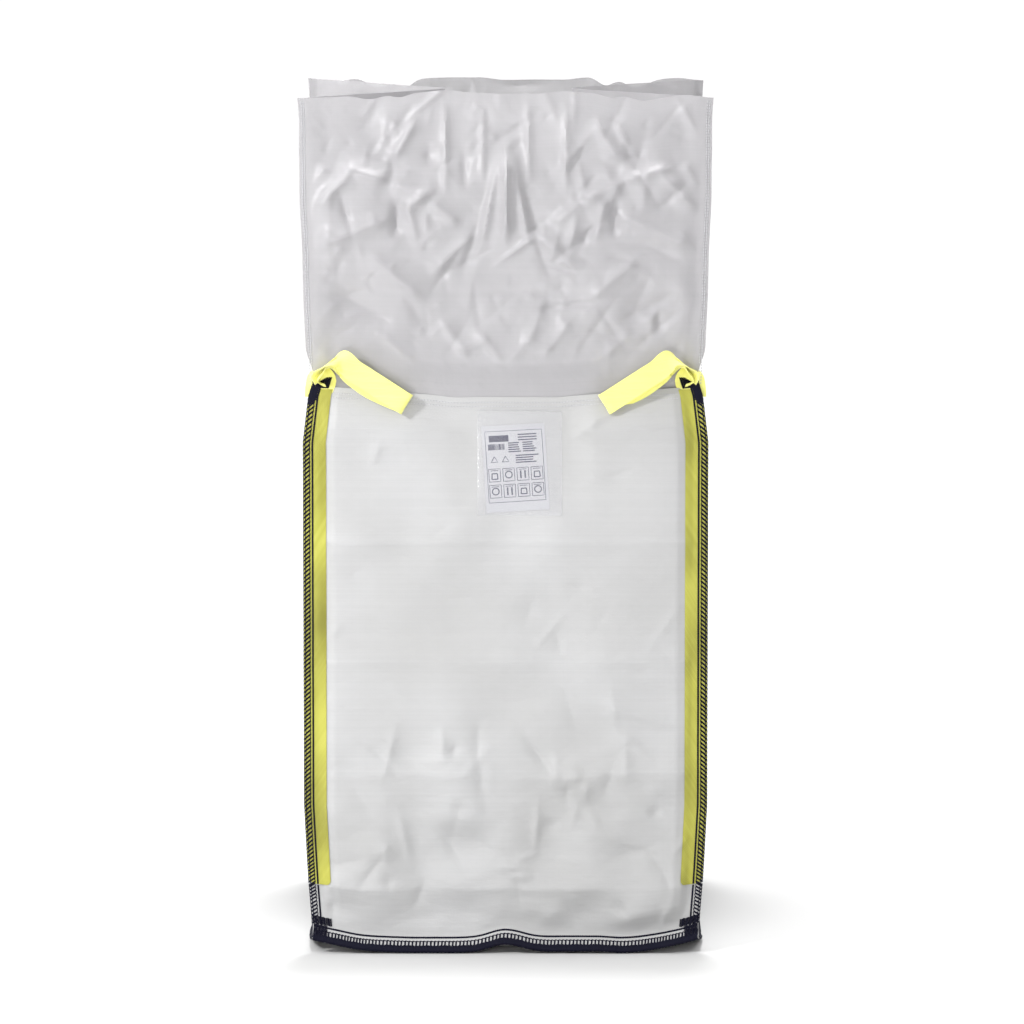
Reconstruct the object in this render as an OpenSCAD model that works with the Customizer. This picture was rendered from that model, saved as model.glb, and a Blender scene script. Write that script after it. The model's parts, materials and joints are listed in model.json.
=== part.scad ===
// Bulk bag with a duffle skirt and four lifting loops, standing half open on its square base.
// Millimetres, +Z up. The origin is on the floor under the middle of the bag and the front faces -Y.
// Corner pieces are drawn once, at the front right corner, and mirrored to the other three.

/* [Body] */
// Width between the corner seams
body_w = 890; // [700:10:1000]
// Depth of the base between its front and rear seams
base_d = 900; // [860:10:1000]
// Height of the body's top edge above the floor
body_top = 1320; // [1100:10:1500]
// Depth from front to rear at the body's top edge
body_top_d = 800; // [700:10:840]
// Thickness of a body panel
panel_t = 1.6; // [1.2:0.1:2]
// Height of the base seam above the floor
base_seam_z = 40; // [38:1:50]
// Inward run of the base's upturned edge
base_rim = 45; // [30:1:60]

/* [Skirt] */
// Height of the skirt's open edge above the floor
skirt_top = 2027; // [1900:1:2100]
// Depth from front to rear at the skirt's open edge
skirt_top_d = 652; // [560:2:680]
// How much wider each side of the skirt is at its open edge
skirt_flare = 24; // [0:1:30]
// Thickness of the skirt's cloth
skirt_t = 0.8; // [0.6:0.1:0.8]
// How far the skirt reaches down inside the body
skirt_lap = 30; // [20:1:40]
// Width of the skirt's corner lap seams
skirt_flange = 20; // [14:1:20]

/* [Seams] */
// Width of the sewn flange along each upright corner
corner_flange = 27; // [25:1:30]
// Width of the sewn flange round the base
base_flange = 41; // [30:1:41]
// Thickness that thread adds to a face
thread_t = 1; // [0.6:0.1:1.2]
// Width of a chain stitch line
chain_w = 3; // [2:0.5:4]
// Width of the overlocked band at a flange's edge
overlock_w = 14; // [10:1:16]
// Side of a square bartack patch
bartack = 21; // [16:1:24]

/* [Webbing] */
// Width of the lifting belts
belt_w = 52; // [45:1:60]
// Thickness of the lifting belts
belt_t = 2.5; // [1.8:0.1:3]
// Height at which the belts' lower ends are sewn
belt_foot_z = 150; // [120:10:400]
// Free length of a loop beyond its shoulder
loop_reach = 184; // [120:1:240]
// Clear gap between the two layers of a loop
loop_gap = 22; // [16:1:30]
// Angle of a resting loop below the horizontal
loop_droop = 33; // [20:1:45]
// Inward distance of a loop's shoulder from the corner seam
shoulder_in = 50; // [40:1:70]
// Height of a loop's shoulder above the body's top edge
shoulder_up = 73; // [60:1:90]

/* [Document pouch] */
// Width of the pouch
pouch_w = 198; // [160:1:240]
// Height of the pouch
pouch_h = 254; // [200:1:300]
// Sideways place of the pouch's middle
pouch_x = 33; // [-60:1:60]
// Thickness of each pouch film
film_t = 0.8; // [0.5:0.1:1]
// Width of the printed sheet
label_w = 148; // [120:1:155]
// Height of the printed sheet
label_h = 210; // [160:1:210]
// Thickness of the printed sheet
label_t = 0.4; // [0.3:0.1:0.6]

/* [Hidden] */

seam_x = body_w / 2;                      // corner seam, where the plies part
edge_x = seam_x + corner_flange;          // outer edge of the corner flange
side_half_w = base_d / 2 - panel_t;       // half the width of a side panel, and of the base's depth
skirt_seam_x = seam_x - 2;                // the skirt's corner seam, inside the body's
nest_flange = 1.2;                        // the skirt's flange where it is nested in the body
stitch_x = seam_x + 6.5;                  // chain stitch line along a corner
belt_top_z = body_top + 25;               // top end of the sewn belts
base_angle = atan2(36, 21);               // slope of the base flange below the horizontal
base_chain_at = 5;                        // chain stitch line, measured down the base flange
hem_z = body_top - 15;                    // stitch line that joins the skirt to the body
shoulder_x = seam_x - shoulder_in;
shoulder_z = body_top + shoulder_up;
stub_back = half_depth(belt_top_z) + 1;   // rear face of a belt's free stub, from the middle
loop_back = body_top_d / 2 + 5;           // rear face of a loop, from the middle
pouch_top_z = body_top - 35;
pouch_gap = 0.4;                          // air between the pouch and the front panel
side_belt_run = belt_w - corner_flange;   // width of a side belt beyond the corner seam
side_levels = concat([for (i = [0 : 14]) mix(base_seam_z, hem_z, pow(i / 14, 1.6))],
                     [hem_z + chain_w, body_top]);
belt_levels = concat(belt_foot_z, [for (z = side_levels) if (z > belt_foot_z + 10) z], belt_top_z);
arc_fn = 96;

function mix(a, b, t) = a + (b - a) * t;

// Half the depth of the bag at a height: the outer face of the front panel is at y = -half_depth(z).
function half_depth(z) =
    z <= body_top
    ? mix(base_d, body_top_d, (z - base_seam_z) / (body_top - base_seam_z)) / 2
    : mix(body_top_d, skirt_top_d, (z - body_top) / (skirt_top - body_top)) / 2;

// One horizontal section of a folded side sheet, from its front flange round the centre fold to its
// rear flange. The sheet's inner face starts `inset` behind the front panel's outer face, its plies
// part at x = seam, and the section is moved `out` mm towards the outside.
function fold_depth(y) = sqrt(side_half_w * side_half_w - y * y);
function side_section(z, seam, flange, inset, out) =
    let (y = half_depth(z) - inset,
         fold = fold_depth(y),
         reach = side_half_w,
         mitre_x = y / (reach + fold))
    [[seam + flange, -y + out],
     [seam + out * mitre_x, -y + out],
     [seam - fold + out * reach / y, 0],
     [seam + out * mitre_x, y - out],
     [seam + flange, y - out]];

// A side panel's section with a point added at each belt's inner edge.
function panel_section(z, out) =
    let (s = side_section(z, seam_x, corner_flange, panel_t, out),
         run = (s[2] - s[1]) / norm(s[2] - s[1]),
         p = s[1] + run * side_belt_run)
    [s[0], s[1], p, s[2], [p[0], -p[1]], s[3], s[4]];

function belt_section(z, out) = let (s = panel_section(z, out)) [s[0], s[1], s[2]];

function lift(section, z) = [for (p = section) [p[0], p[1], z]];

function two_triangles(a, b, c, d) = [[a, b, c], [a, c, d]];

// A closed sheet between two grids of points that have the same rows and columns. Its quads are
// split along mirrored diagonals to the left and right of its middle column.
module sheet(outer, inner) {
    rows = len(outer);
    cols = len(outer[0]);
    n = rows * cols;
    points = concat([for (row = outer) each row], [for (row = inner) each row]);
    middle = cols > 3 ? (cols - 1) / 2 : cols;
    outer_faces = [for (r = [0 : rows - 2], c = [0 : cols - 2]) let (i = r * cols + c)
        each c < middle ? two_triangles(i, i + cols, i + cols + 1, i + 1)
                        : two_triangles(i + cols, i + cols + 1, i + 1, i)];
    inner_faces = [for (r = [0 : rows - 2], c = [0 : cols - 2]) let (i = n + r * cols + c)
        each c < middle ? two_triangles(i, i + 1, i + cols + 1, i + cols)
                        : two_triangles(i + 1, i + cols + 1, i + cols, i)];
    level_edges = [for (c = [0 : cols - 2]) let (low = c, high = (rows - 1) * cols + c)
        each concat(two_triangles(low, low + 1, n + low + 1, n + low),
                    two_triangles(high, n + high, n + high + 1, high + 1))];
    upright_edges = [for (r = [0 : rows - 2]) let (first = r * cols, last = first + cols - 1)
        each concat(two_triangles(first, n + first, n + first + cols, first + cols),
                    two_triangles(last, last + cols, n + last + cols, n + last))];
    polyhedron(points, concat(outer_faces, inner_faces, level_edges, upright_edges));
}

module across(x0, x1) translate([x0, 0, 0]) rotate([90, 0, 90]) linear_extrude(x1 - x0) children();

// A slab that follows the lean of the front face, between two distances outside it.
module front_slab(x0, x1, z0, z1, out0, out1) {
    levels = z0 < body_top && body_top < z1 ? [z0, body_top, z1] : [z0, z1];
    across(x0, x1)
        polygon(concat([for (z = levels) [-half_depth(z) - out0, z]],
                       [for (i = [len(levels) - 1 : -1 : 0]) [-half_depth(levels[i]) - out1, levels[i]]]));
}

module to_corner(side, face)
    mirror([side < 0 ? 1 : 0, 0, 0]) mirror([0, face > 0 ? 1 : 0, 0]) children();

module to_rear() mirror([0, 1, 0]) children();
module to_left() mirror([1, 0, 0]) children();

// Places a profile drawn along the base flange: x runs down the flange from the seam and y points
// to the outside of the front ply.
module on_base_flange(seam_at, length)
    across(-length / 2, length / 2)
        translate([-seam_at, base_seam_z]) rotate(180 + base_angle) mirror([0, 1]) children();

// Turns a piece of the front base flange to the right side of the bag.
module to_right_side() rotate([0, 0, 90]) children();

// ---- body panels ----

module front_panel() color("whitesmoke") {
    front_slab(-edge_x, edge_x, base_seam_z, body_top, -panel_t, 0);
    on_base_flange(side_half_w, body_w - 10) square([base_flange, panel_t]);
}

module side_panel() color("whitesmoke") {
    sheet([for (z = side_levels) lift(panel_section(z, panel_t), z)],
          [for (z = side_levels) lift(panel_section(z, 0), z)]);
    to_right_side() on_base_flange(seam_x, base_d - 10) square([base_flange, panel_t]);
}

// The base is a shallow pan: flat on the floor, turned up to the seam all round.
module base_panel() color("whitesmoke") {
    x = seam_x;
    y = side_half_w;
    in = base_rim;
    wall = panel_t * 1.5;
    rings = [[x - in, y - in, 0], [x, y, base_seam_z],
             [x - wall, y - wall, base_seam_z], [x - in - wall / 2, y - in - wall / 2, panel_t]];
    points = [for (r = rings) each [[-r[0], -r[1], r[2]], [r[0], -r[1], r[2]],
                                    [r[0], r[1], r[2]], [-r[0], r[1], r[2]]]];
    walls = [for (r = [0 : 2], c = [0 : 3])
        [r * 4 + c, (r + 1) * 4 + c, (r + 1) * 4 + (c + 1) % 4, r * 4 + (c + 1) % 4]];
    polyhedron(points, concat([[0, 1, 2, 3]], walls, [[15, 14, 13, 12]]));
    for (turn = [0, 180]) rotate([0, 0, turn]) {
        on_base_flange(y, body_w - 10) translate([0, -panel_t]) square([base_flange, panel_t]);
        to_right_side() on_base_flange(x, base_d - 10) translate([0, -panel_t]) square([base_flange, panel_t]);
    }
}

// ---- skirt ----

function skirt_seam(z) = skirt_seam_x + skirt_flare * max(0, z - body_top) / (skirt_top - body_top);
function skirt_edge(z) = z < body_top ? nest_flange : skirt_flange;
skirt_levels = concat([body_top - skirt_lap, body_top - 2],
                      [for (i = [0 : 7]) mix(body_top + 4, skirt_top, i / 7)]);

module skirt_front() color("ghostwhite", 0.8)
    sheet([for (z = skirt_levels) let (x = skirt_seam(z) + skirt_edge(z), y = panel_t - half_depth(z))
              [[-x, y, z], [x, y, z]]],
          [for (z = skirt_levels) let (x = skirt_seam(z) + skirt_edge(z), y = panel_t + skirt_t - half_depth(z))
              [[-x, y, z], [x, y, z]]]);

module skirt_gusset() color("ghostwhite", 0.8)
    sheet([for (z = skirt_levels)
              lift(side_section(z, skirt_seam(z), skirt_edge(z), panel_t + skirt_t, skirt_t), z)],
          [for (z = skirt_levels)
              lift(side_section(z, skirt_seam(z), skirt_edge(z), panel_t + skirt_t, 0), z)]);

// Lap seam stitching of one skirt corner, a strip on the front sheet's outer face.
module skirt_stitching() color("lightsteelblue") {
    z0 = body_top + 4;
    x0 = skirt_seam_x + 6;
    grid = [for (z = [z0, skirt_top - 5]) let (x = x0 + skirt_seam(z) - skirt_seam_x, y = panel_t - half_depth(z))
        [[x, y, z], [x + chain_w, y, z]]];
    face = [for (row = grid) [for (p = row) p - [0, skirt_t, 0]]];
    sheet(face, grid);
}

// ---- webbing ----

// Belt sewn to the front panel along a corner, with the free stub that rises to the loop's shoulder.
module belt() color("khaki") {
    front_slab(edge_x - belt_w, edge_x, belt_foot_z, belt_top_z, 0, belt_t);
    root_x = edge_x - belt_w / 2;
    root_z = belt_top_z - belt_w / 4;
    rise = [shoulder_x - root_x, shoulder_z - root_z];
    translate([shoulder_x, -stub_back, shoulder_z]) rotate([90, 0, 0]) linear_extrude(belt_t) {
        circle(d = belt_w, $fn = arc_fn);
        rotate(atan2(-rise[1], -rise[0])) translate([0, -belt_w / 2]) square([norm(rise) - belt_w / 8, belt_w]);
    }
}

// Belt sewn to the side panel along a corner, bent round the seam.
module side_belt() color("khaki")
    sheet([for (z = belt_levels) lift(belt_section(z, panel_t + belt_t), z)],
          [for (z = belt_levels) lift(belt_section(z, panel_t), z)]);

// Free loop: two layers joined at the tip, turning about the shoulder.
module loop() color("khaki") {
    tip_r = loop_gap / 2 + belt_t;
    translate([shoulder_x, -loop_back, shoulder_z]) rotate([90, 180 - loop_droop, 0]) {
        for (h = [0, loop_gap + belt_t]) translate([0, 0, h]) linear_extrude(belt_t) {
            circle(d = belt_w, $fn = arc_fn);
            translate([0, -belt_w / 2]) square([loop_reach, belt_w]);
        }
        translate([loop_reach, belt_w / 2, tip_r]) rotate([90, 0, 0]) linear_extrude(belt_w)
            intersection() {
                difference() {
                    circle(tip_r, $fn = arc_fn);
                    circle(loop_gap / 2, $fn = arc_fn);
                }
                translate([0, -tip_r]) square([tip_r, 2 * tip_r]);
            }
    }
}

// ---- corner stitching ----

// The stretches of a corner seam: below the belts and along them, each with what the thread covers.
corner_stretches = [[base_seam_z + bartack + 5, belt_foot_z - 1, 0], [belt_foot_z, belt_top_z, belt_t]];

module corner_overlock() color("midnightblue")
    for (s = corner_stretches) {
        x0 = edge_x - overlock_w;
        x1 = edge_x + thread_t;
        back = 2 * panel_t + s[2];
        front_slab(x0, x1, s[0], s[1], s[2], s[2] + thread_t);
        front_slab(x0, x1, s[0], s[1], -back - thread_t, -back);
        front_slab(edge_x, x1, s[0], s[1], -back - thread_t, s[2] + thread_t);
    }

module corner_chain_stitch() color("midnightblue")
    for (s = corner_stretches) {
        back = 2 * panel_t + s[2];
        front_slab(stitch_x - chain_w / 2, stitch_x + chain_w / 2, s[0], s[1], s[2], s[2] + thread_t);
        front_slab(stitch_x - chain_w / 2, stitch_x + chain_w / 2, s[0], s[1], -back - thread_t, -back);
    }

module bartack_patch(z0, out) color("midnightblue")
    front_slab(stitch_x - chain_w - bartack, stitch_x - chain_w, z0, z0 + bartack, out, out + thread_t);

module top_bartack() bartack_patch(body_top + 2, belt_t + thread_t);
module base_bartack() bartack_patch(base_seam_z + 2, 0);

// ---- base stitching ----

module base_overlock_profile() difference() {
    translate([base_flange - overlock_w, -panel_t - thread_t])
        square([overlock_w + thread_t, 2 * (panel_t + thread_t)]);
    translate([base_flange - overlock_w - 1, -panel_t]) square([overlock_w + 1, 2 * panel_t]);
}

module base_chain_profile()
    for (y = [panel_t, -panel_t - thread_t])
        translate([base_chain_at, y]) square([chain_w, thread_t]);

module front_base_overlock() color("midnightblue")
    on_base_flange(side_half_w, body_w - 10) base_overlock_profile();
module side_base_overlock() color("midnightblue")
    to_right_side() on_base_flange(seam_x, base_d - 10) base_overlock_profile();
module front_base_chain() color("midnightblue")
    on_base_flange(side_half_w, body_w - 10) base_chain_profile();
module side_base_chain() color("midnightblue")
    to_right_side() on_base_flange(seam_x, base_d - 10) base_chain_profile();

// ---- hem stitching, where the skirt joins the body ----

module front_hem() color("white")
    front_slab(-edge_x + belt_w + 1, edge_x - belt_w - 1, hem_z, hem_z + chain_w, 0, thread_t);

// The section of a side panel between its two belts, 1 mm clear of each.
function between_belts(z, out) =
    let (s = panel_section(z, out),
         start = s[2] + (s[3] - s[2]) / norm(s[3] - s[2]))
    [start, s[3], [start[0], -start[1]]];

module side_hem() color("white") {
    levels = [hem_z, hem_z + chain_w];
    sheet([for (z = levels) lift(between_belts(z, panel_t + thread_t), z)],
          [for (z = levels) lift(between_belts(z, panel_t), z)]);
}

// ---- document pouch ----

module pouch_slab(w, z0, z1, out0, out1)
    front_slab(pouch_x - w / 2, pouch_x + w / 2, z0, z1, pouch_gap + out0, pouch_gap + out1);

module pouch_back_film() color("gainsboro", 0.6)
    pouch_slab(pouch_w, pouch_top_z - pouch_h, pouch_top_z, 0, film_t);
module label_sheet() color("white")
    pouch_slab(label_w, pouch_top_z - pouch_h + 12, pouch_top_z - pouch_h + 12 + label_h, film_t, film_t + label_t);
module pouch_front_film() color("gainsboro", 0.6)
    pouch_slab(pouch_w, pouch_top_z - pouch_h, pouch_top_z, film_t + label_t, 2 * film_t + label_t);
module pouch_stitching() color("white")
    front_slab(pouch_x - pouch_w / 2, pouch_x + pouch_w / 2, pouch_top_z + 2, pouch_top_z + 2 + chain_w, 0, thread_t);

front_panel();
to_rear() front_panel();  // rear_panel
to_left() side_panel();  // left_side_panel
side_panel();  // right_side_panel
base_panel();
skirt_front();
to_rear() skirt_front();  // skirt_rear
to_left() skirt_gusset();  // skirt_left_gusset
skirt_gusset();  // skirt_right_gusset
to_corner(-1, -1) belt();  // front_left_belt
to_corner(1, -1) belt();  // front_right_belt
to_corner(-1, 1) belt();  // rear_left_belt
to_corner(1, 1) belt();  // rear_right_belt
to_corner(-1, -1) side_belt();  // front_left_side_belt
to_corner(1, -1) side_belt();  // front_right_side_belt
to_corner(-1, 1) side_belt();  // rear_left_side_belt
to_corner(1, 1) side_belt();  // rear_right_side_belt
to_corner(-1, -1) loop();  // front_left_loop
to_corner(1, -1) loop();  // front_right_loop
to_corner(-1, 1) loop();  // rear_left_loop
to_corner(1, 1) loop();  // rear_right_loop
to_corner(-1, -1) corner_overlock();  // front_left_overlock
to_corner(1, -1) corner_overlock();  // front_right_overlock
to_corner(-1, 1) corner_overlock();  // rear_left_overlock
to_corner(1, 1) corner_overlock();  // rear_right_overlock
to_corner(-1, -1) corner_chain_stitch();  // front_left_chain_stitch
to_corner(1, -1) corner_chain_stitch();  // front_right_chain_stitch
to_corner(-1, 1) corner_chain_stitch();  // rear_left_chain_stitch
to_corner(1, 1) corner_chain_stitch();  // rear_right_chain_stitch
to_corner(-1, -1) top_bartack();  // front_left_top_bartack
to_corner(1, -1) top_bartack();  // front_right_top_bartack
to_corner(-1, 1) top_bartack();  // rear_left_top_bartack
to_corner(1, 1) top_bartack();  // rear_right_top_bartack
to_corner(-1, -1) base_bartack();  // front_left_base_bartack
to_corner(1, -1) base_bartack();  // front_right_base_bartack
to_corner(-1, 1) base_bartack();  // rear_left_base_bartack
to_corner(1, 1) base_bartack();  // rear_right_base_bartack
front_base_overlock();
to_rear() front_base_overlock();  // rear_base_overlock
to_left() side_base_overlock();  // left_base_overlock
side_base_overlock();  // right_base_overlock
front_base_chain();  // front_base_chain_stitch
to_rear() front_base_chain();  // rear_base_chain_stitch
to_left() side_base_chain();  // left_base_chain_stitch
side_base_chain();  // right_base_chain_stitch
front_hem();  // front_hem_stitching
to_rear() front_hem();  // rear_hem_stitching
to_left() side_hem();  // left_hem_stitching
side_hem();  // right_hem_stitching
to_corner(-1, -1) skirt_stitching();  // skirt_front_left_stitching
to_corner(1, -1) skirt_stitching();  // skirt_front_right_stitching
to_corner(-1, 1) skirt_stitching();  // skirt_rear_left_stitching
to_corner(1, 1) skirt_stitching();  // skirt_rear_right_stitching
pouch_back_film();
pouch_front_film();
label_sheet();
pouch_stitching();
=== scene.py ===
import json
import math

import bpy
import numpy as np
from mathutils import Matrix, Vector


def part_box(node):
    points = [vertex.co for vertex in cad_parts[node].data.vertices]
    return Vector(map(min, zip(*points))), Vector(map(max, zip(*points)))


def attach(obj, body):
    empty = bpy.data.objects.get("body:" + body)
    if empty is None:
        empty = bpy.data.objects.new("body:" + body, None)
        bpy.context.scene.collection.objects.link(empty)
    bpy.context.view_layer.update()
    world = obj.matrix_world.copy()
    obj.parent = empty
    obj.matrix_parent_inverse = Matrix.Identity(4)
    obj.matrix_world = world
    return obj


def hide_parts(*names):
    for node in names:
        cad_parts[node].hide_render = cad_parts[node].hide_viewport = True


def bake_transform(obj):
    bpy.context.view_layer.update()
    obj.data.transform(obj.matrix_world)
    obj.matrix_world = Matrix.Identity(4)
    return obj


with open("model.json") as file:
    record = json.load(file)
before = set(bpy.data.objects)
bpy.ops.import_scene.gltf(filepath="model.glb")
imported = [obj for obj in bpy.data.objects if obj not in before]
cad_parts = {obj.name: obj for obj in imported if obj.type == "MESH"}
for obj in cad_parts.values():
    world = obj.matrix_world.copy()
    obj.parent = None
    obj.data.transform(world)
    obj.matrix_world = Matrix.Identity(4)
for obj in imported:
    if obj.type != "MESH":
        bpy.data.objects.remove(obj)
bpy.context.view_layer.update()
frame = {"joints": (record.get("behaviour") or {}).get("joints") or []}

# Sizes in metres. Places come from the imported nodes; small widths and thicknesses repeat part.scad.
PANEL_T = 0.0016
SKIRT_T = 0.0008
BELT_T = 0.0025
BELT_W = 0.052
CORNER_FLANGE = 0.027
BASE_FLANGE = 0.041
BASE_SEAM_Z = 0.040
BASE_HALF = 0.450
SIDE_HALF = BASE_HALF - PANEL_T
FLANGE_OUT, FLANGE_DOWN = 0.504, 0.864    # direction of the base flange from its seam
EDGE_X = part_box("front_panel")[1].x
BODY_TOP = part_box("front_panel")[1].z
TOP_HALF = PANEL_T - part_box("front_panel")[1].y
SKIRT_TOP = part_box("skirt_front")[1].z
SKIRT_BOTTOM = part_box("skirt_front")[0].z
MOUTH_HALF = PANEL_T + SKIRT_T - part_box("skirt_front")[1].y
SKIRT_EDGE_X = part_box("skirt_front")[1].x
SKIRT_FLANGE = 0.020
SKIRT_FLARE = 0.024
SEAM_X = EDGE_X - CORNER_FLANGE
BELT_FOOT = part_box("front_right_belt")[0].z
BELT_TOP = 1.345
HEM_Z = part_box("front_hem_stitching")[0].z
CHAIN_X = SEAM_X + 0.0065
OVERLOCK_X = EDGE_X - 0.014
CORNERS = [(-1, -1), (1, -1), (-1, 1), (1, 1)]
SIDE_NAMES = {-1: "left", 1: "right"}
FACE_NAMES = {-1: "front", 1: "rear"}
X_AXIS = (1.0, 0.0, 0.0)
Y_AXIS = (0.0, 1.0, 0.0)
Z_AXIS = (0.0, 0.0, 1.0)


def corner_name(side, face):
    return f"{FACE_NAMES[face]}_{SIDE_NAMES[side]}"


# ---- camera, light and floor ----

AIM = Vector((0.015, -0.42, 1.04))
CAMERA_DISTANCE = 11.8
CAMERA_PITCH = math.radians(7.0)
FRAME_HEIGHT = 2.394                      # height of the picture at the distance of AIM
FLOOR_HALF = 400.0
FLOOR_Z = -0.001

camera_data = bpy.data.cameras.new("camera")
camera = bpy.data.objects.new("camera", camera_data)
bpy.context.scene.collection.objects.link(camera)
back = Vector((0, -math.cos(CAMERA_PITCH), math.sin(CAMERA_PITCH)))
camera.location = AIM + back * CAMERA_DISTANCE
camera.rotation_mode = "QUATERNION"
camera.rotation_quaternion = (-back).to_track_quat("-Z", "Y")
camera_data.sensor_width = 36.0
camera_data.lens = camera_data.sensor_width * CAMERA_DISTANCE / FRAME_HEIGHT
camera_data.clip_end = 1500.0
bpy.context.scene.camera = camera
bpy.context.scene.view_settings.view_transform = "Standard"

world = bpy.data.worlds.new("studio")
world.use_nodes = True
sky = world.node_tree
direction = sky.nodes.new("ShaderNodeTexCoord")
split_direction = sky.nodes.new("ShaderNodeSeparateXYZ")
sky.links.new(direction.outputs["Generated"], split_direction.inputs[0])


def add_ramp(interpolation, *limits):
    """The sky's strength by the height of the direction: from min, from max, to min, to max."""
    ramp = sky.nodes.new("ShaderNodeMapRange")
    ramp.interpolation_type = interpolation
    for socket, value in zip(("From Min", "From Max", "To Min", "To Max"), limits):
        ramp.inputs[socket].default_value = value
    sky.links.new(split_direction.outputs[2], ramp.inputs["Value"])
    return ramp.outputs[0]


# Bright overhead, with a thin pale band at the horizon so that the floor has no edge in low views.
brighter = sky.nodes.new("ShaderNodeMath")
brighter.operation = "MAXIMUM"
sky.links.new(add_ramp("SMOOTHSTEP", 0.0, 0.75, 0.30, 1.29), brighter.inputs[0])
sky.links.new(add_ramp("LINEAR", 0.07, 0.11, 1.05, 0.0), brighter.inputs[1])
sky.links.new(brighter.outputs[0], sky.nodes["Background"].inputs["Strength"])
sky.nodes["Background"].inputs["Color"].default_value = (1.0, 1.0, 1.0, 1.0)
bpy.context.scene.world = world


def add_light(name, place, target, size, watts):
    data = bpy.data.lights.new(name, "AREA")
    data.shape = "DISK"
    data.size = size
    data.energy = watts
    light = bpy.data.objects.new(name, data)
    light.location = place
    light.rotation_mode = "QUATERNION"
    light.rotation_quaternion = (Vector(target) - Vector(place)).to_track_quat("-Z", "Y")
    bpy.context.scene.collection.objects.link(light)


add_light("key_light", (-3.2, -3.0, 3.3), (0, -0.4, 0.3), 0.6, 160)
add_light("low_light", (-1.2, -4.6, 0.5), (0, -0.4, 0.3), 0.8, 50)
add_light("top_light", (0.2, 1.3, 8.5), (0, -0.6, 0.0), 1.6, 620)
add_light("left_light", (-3.4, 0.2, 4.4), (0, 0, 1.0), 1.4, 40)
add_light("right_light", (3.4, 0.2, 4.4), (0, 0, 1.0), 1.4, 40)


# ---- numbers in the plane of the cloth ----

NOISE_CELLS = 97
CREASE_TOP = 0.0045              # how rounded the top of a crease is


def smooth(t):
    t = np.clip(t, 0.0, 1.0)
    return t * t * (3.0 - 2.0 * t)


def rises(value, low, high):
    """0 below low, 1 above high, and smooth between them."""
    return smooth((value - low) / (high - low))


def matched(a, b):
    """Two arrays of the same shape."""
    return np.broadcast_arrays(np.asarray(a, float), np.asarray(b, float))


def unit(vectors, least=1e-12):
    """Vectors of length 1 along the last axis."""
    return vectors / (np.linalg.norm(vectors, axis=-1, keepdims=True) + least)


def run_along(points):
    """The distance run along a path at each of its points."""
    return np.concatenate([[0], np.cumsum(np.linalg.norm(np.diff(points, axis=0), axis=1))])


def noise(u, v, seed):
    """Smooth random heights between -1 and 1, one per unit cell."""
    table = np.random.default_rng(seed).uniform(-1.0, 1.0, (NOISE_CELLS, NOISE_CELLS))
    iu = np.floor(u).astype(int)
    iv = np.floor(v).astype(int)
    fu, fv = smooth(u - iu), smooth(v - iv)

    def at(a, b):
        return table[(iu + a) % NOISE_CELLS, (iv + b) % NOISE_CELLS]

    low = at(0, 0) * (1 - fu) + at(1, 0) * fu
    high = at(0, 1) * (1 - fu) + at(1, 1) * fu
    return low * (1 - fv) + high * fv


def ripple(u, seed):
    """Smooth random heights along a line."""
    return noise(u, u * 0, seed)


def crease(u, v, line, height, width, end_fade=0.3):
    """A narrow ridge along a line of two points, or a valley where height is negative."""
    (au, av), (bu, bv) = line
    du, dv = bu - au, bv - av
    length = math.hypot(du, dv)
    along = ((u - au) * du + (v - av) * dv) / length ** 2
    across = ((v - av) * du - (u - au) * dv) / length
    across = np.sqrt(across ** 2 + CREASE_TOP ** 2) - CREASE_TOP
    fade = smooth(along / end_fade) * smooth((1 - along) / end_fade)
    return height * np.exp(-across / width) * fade


def crumple(u, v, seed, count, u_span, v_span, height, length, width, lean, spread):
    """Many short creases at random places. height, length and width are (least, most), and their
    directions are spread round a lean in degrees."""
    rng = np.random.default_rng(seed)
    total = np.zeros(np.broadcast(u, v).shape)
    for _ in range(count):
        cu, cv = rng.uniform(*u_span), rng.uniform(*v_span)
        angle = math.radians(rng.normal(lean, spread))
        half = rng.uniform(*length) / 2
        high = rng.uniform(*height) * rng.choice([-1.0, 1.0])
        du, dv = half * math.cos(angle), half * math.sin(angle)
        line = ((cu - du, cv - dv), (cu + du, cv + dv))
        total += crease(u, v, line, high, rng.uniform(*width), end_fade=0.5)
    return total


# ---- the body's cloth ----

# The creases left by folding the bag for storage: height, how far each stands out, how far it fades.
STORAGE_FOLDS = [
    (1.232, 0.0165, 0.055),
    (0.968, 0.0140, 0.060),
    (0.687, 0.0105, 0.055),
    (0.421, 0.0110, 0.055),
    (0.150, 0.0080, 0.035),
]
FADE_ABOVE, FADE_BELOW = 0.6, 1.3
# The pouch and its seam hold the front cloth flat around this x.
POUCH_MIDDLE = 0.033
# The corner flanges lean inward at their ends.
EDGE_LEVELS = [0.03, 0.15, 0.35, 1.20, 1.30, 1.345]
EDGE_SHIFTS = [0.018, 0.010, 0.0, 0.0, 0.013, 0.027]
LEAN_ZONE = (0.30, 0.44)         # the lean grows between these distances from the middle
SIDE_LEAN = 0.010
LIFT_FADE = 0.22                 # the base seam's lift is gone this far above it
FLANGE_WAVE = 0.0022


def half_depth(z):
    """Half the depth of the bag at a height."""
    return np.interp(z, [BASE_SEAM_Z, BODY_TOP, SKIRT_TOP], [BASE_HALF, TOP_HALF, MOUTH_HALF])


def base_lift(across, face=0):
    """How far the base seam is lifted near a corner, and at the middle of the front."""
    corner = 0.024 * np.clip((np.abs(across) - 0.26) / 0.19, 0, 1.1) ** 1.8
    middle = {-1: 0.016, 1: 0.006, 0: 0.004}[face] * np.exp(-((across / 0.055) ** 2))
    return corner + middle + 0.002 * ripple(across / 0.07, 5 + face)


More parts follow.
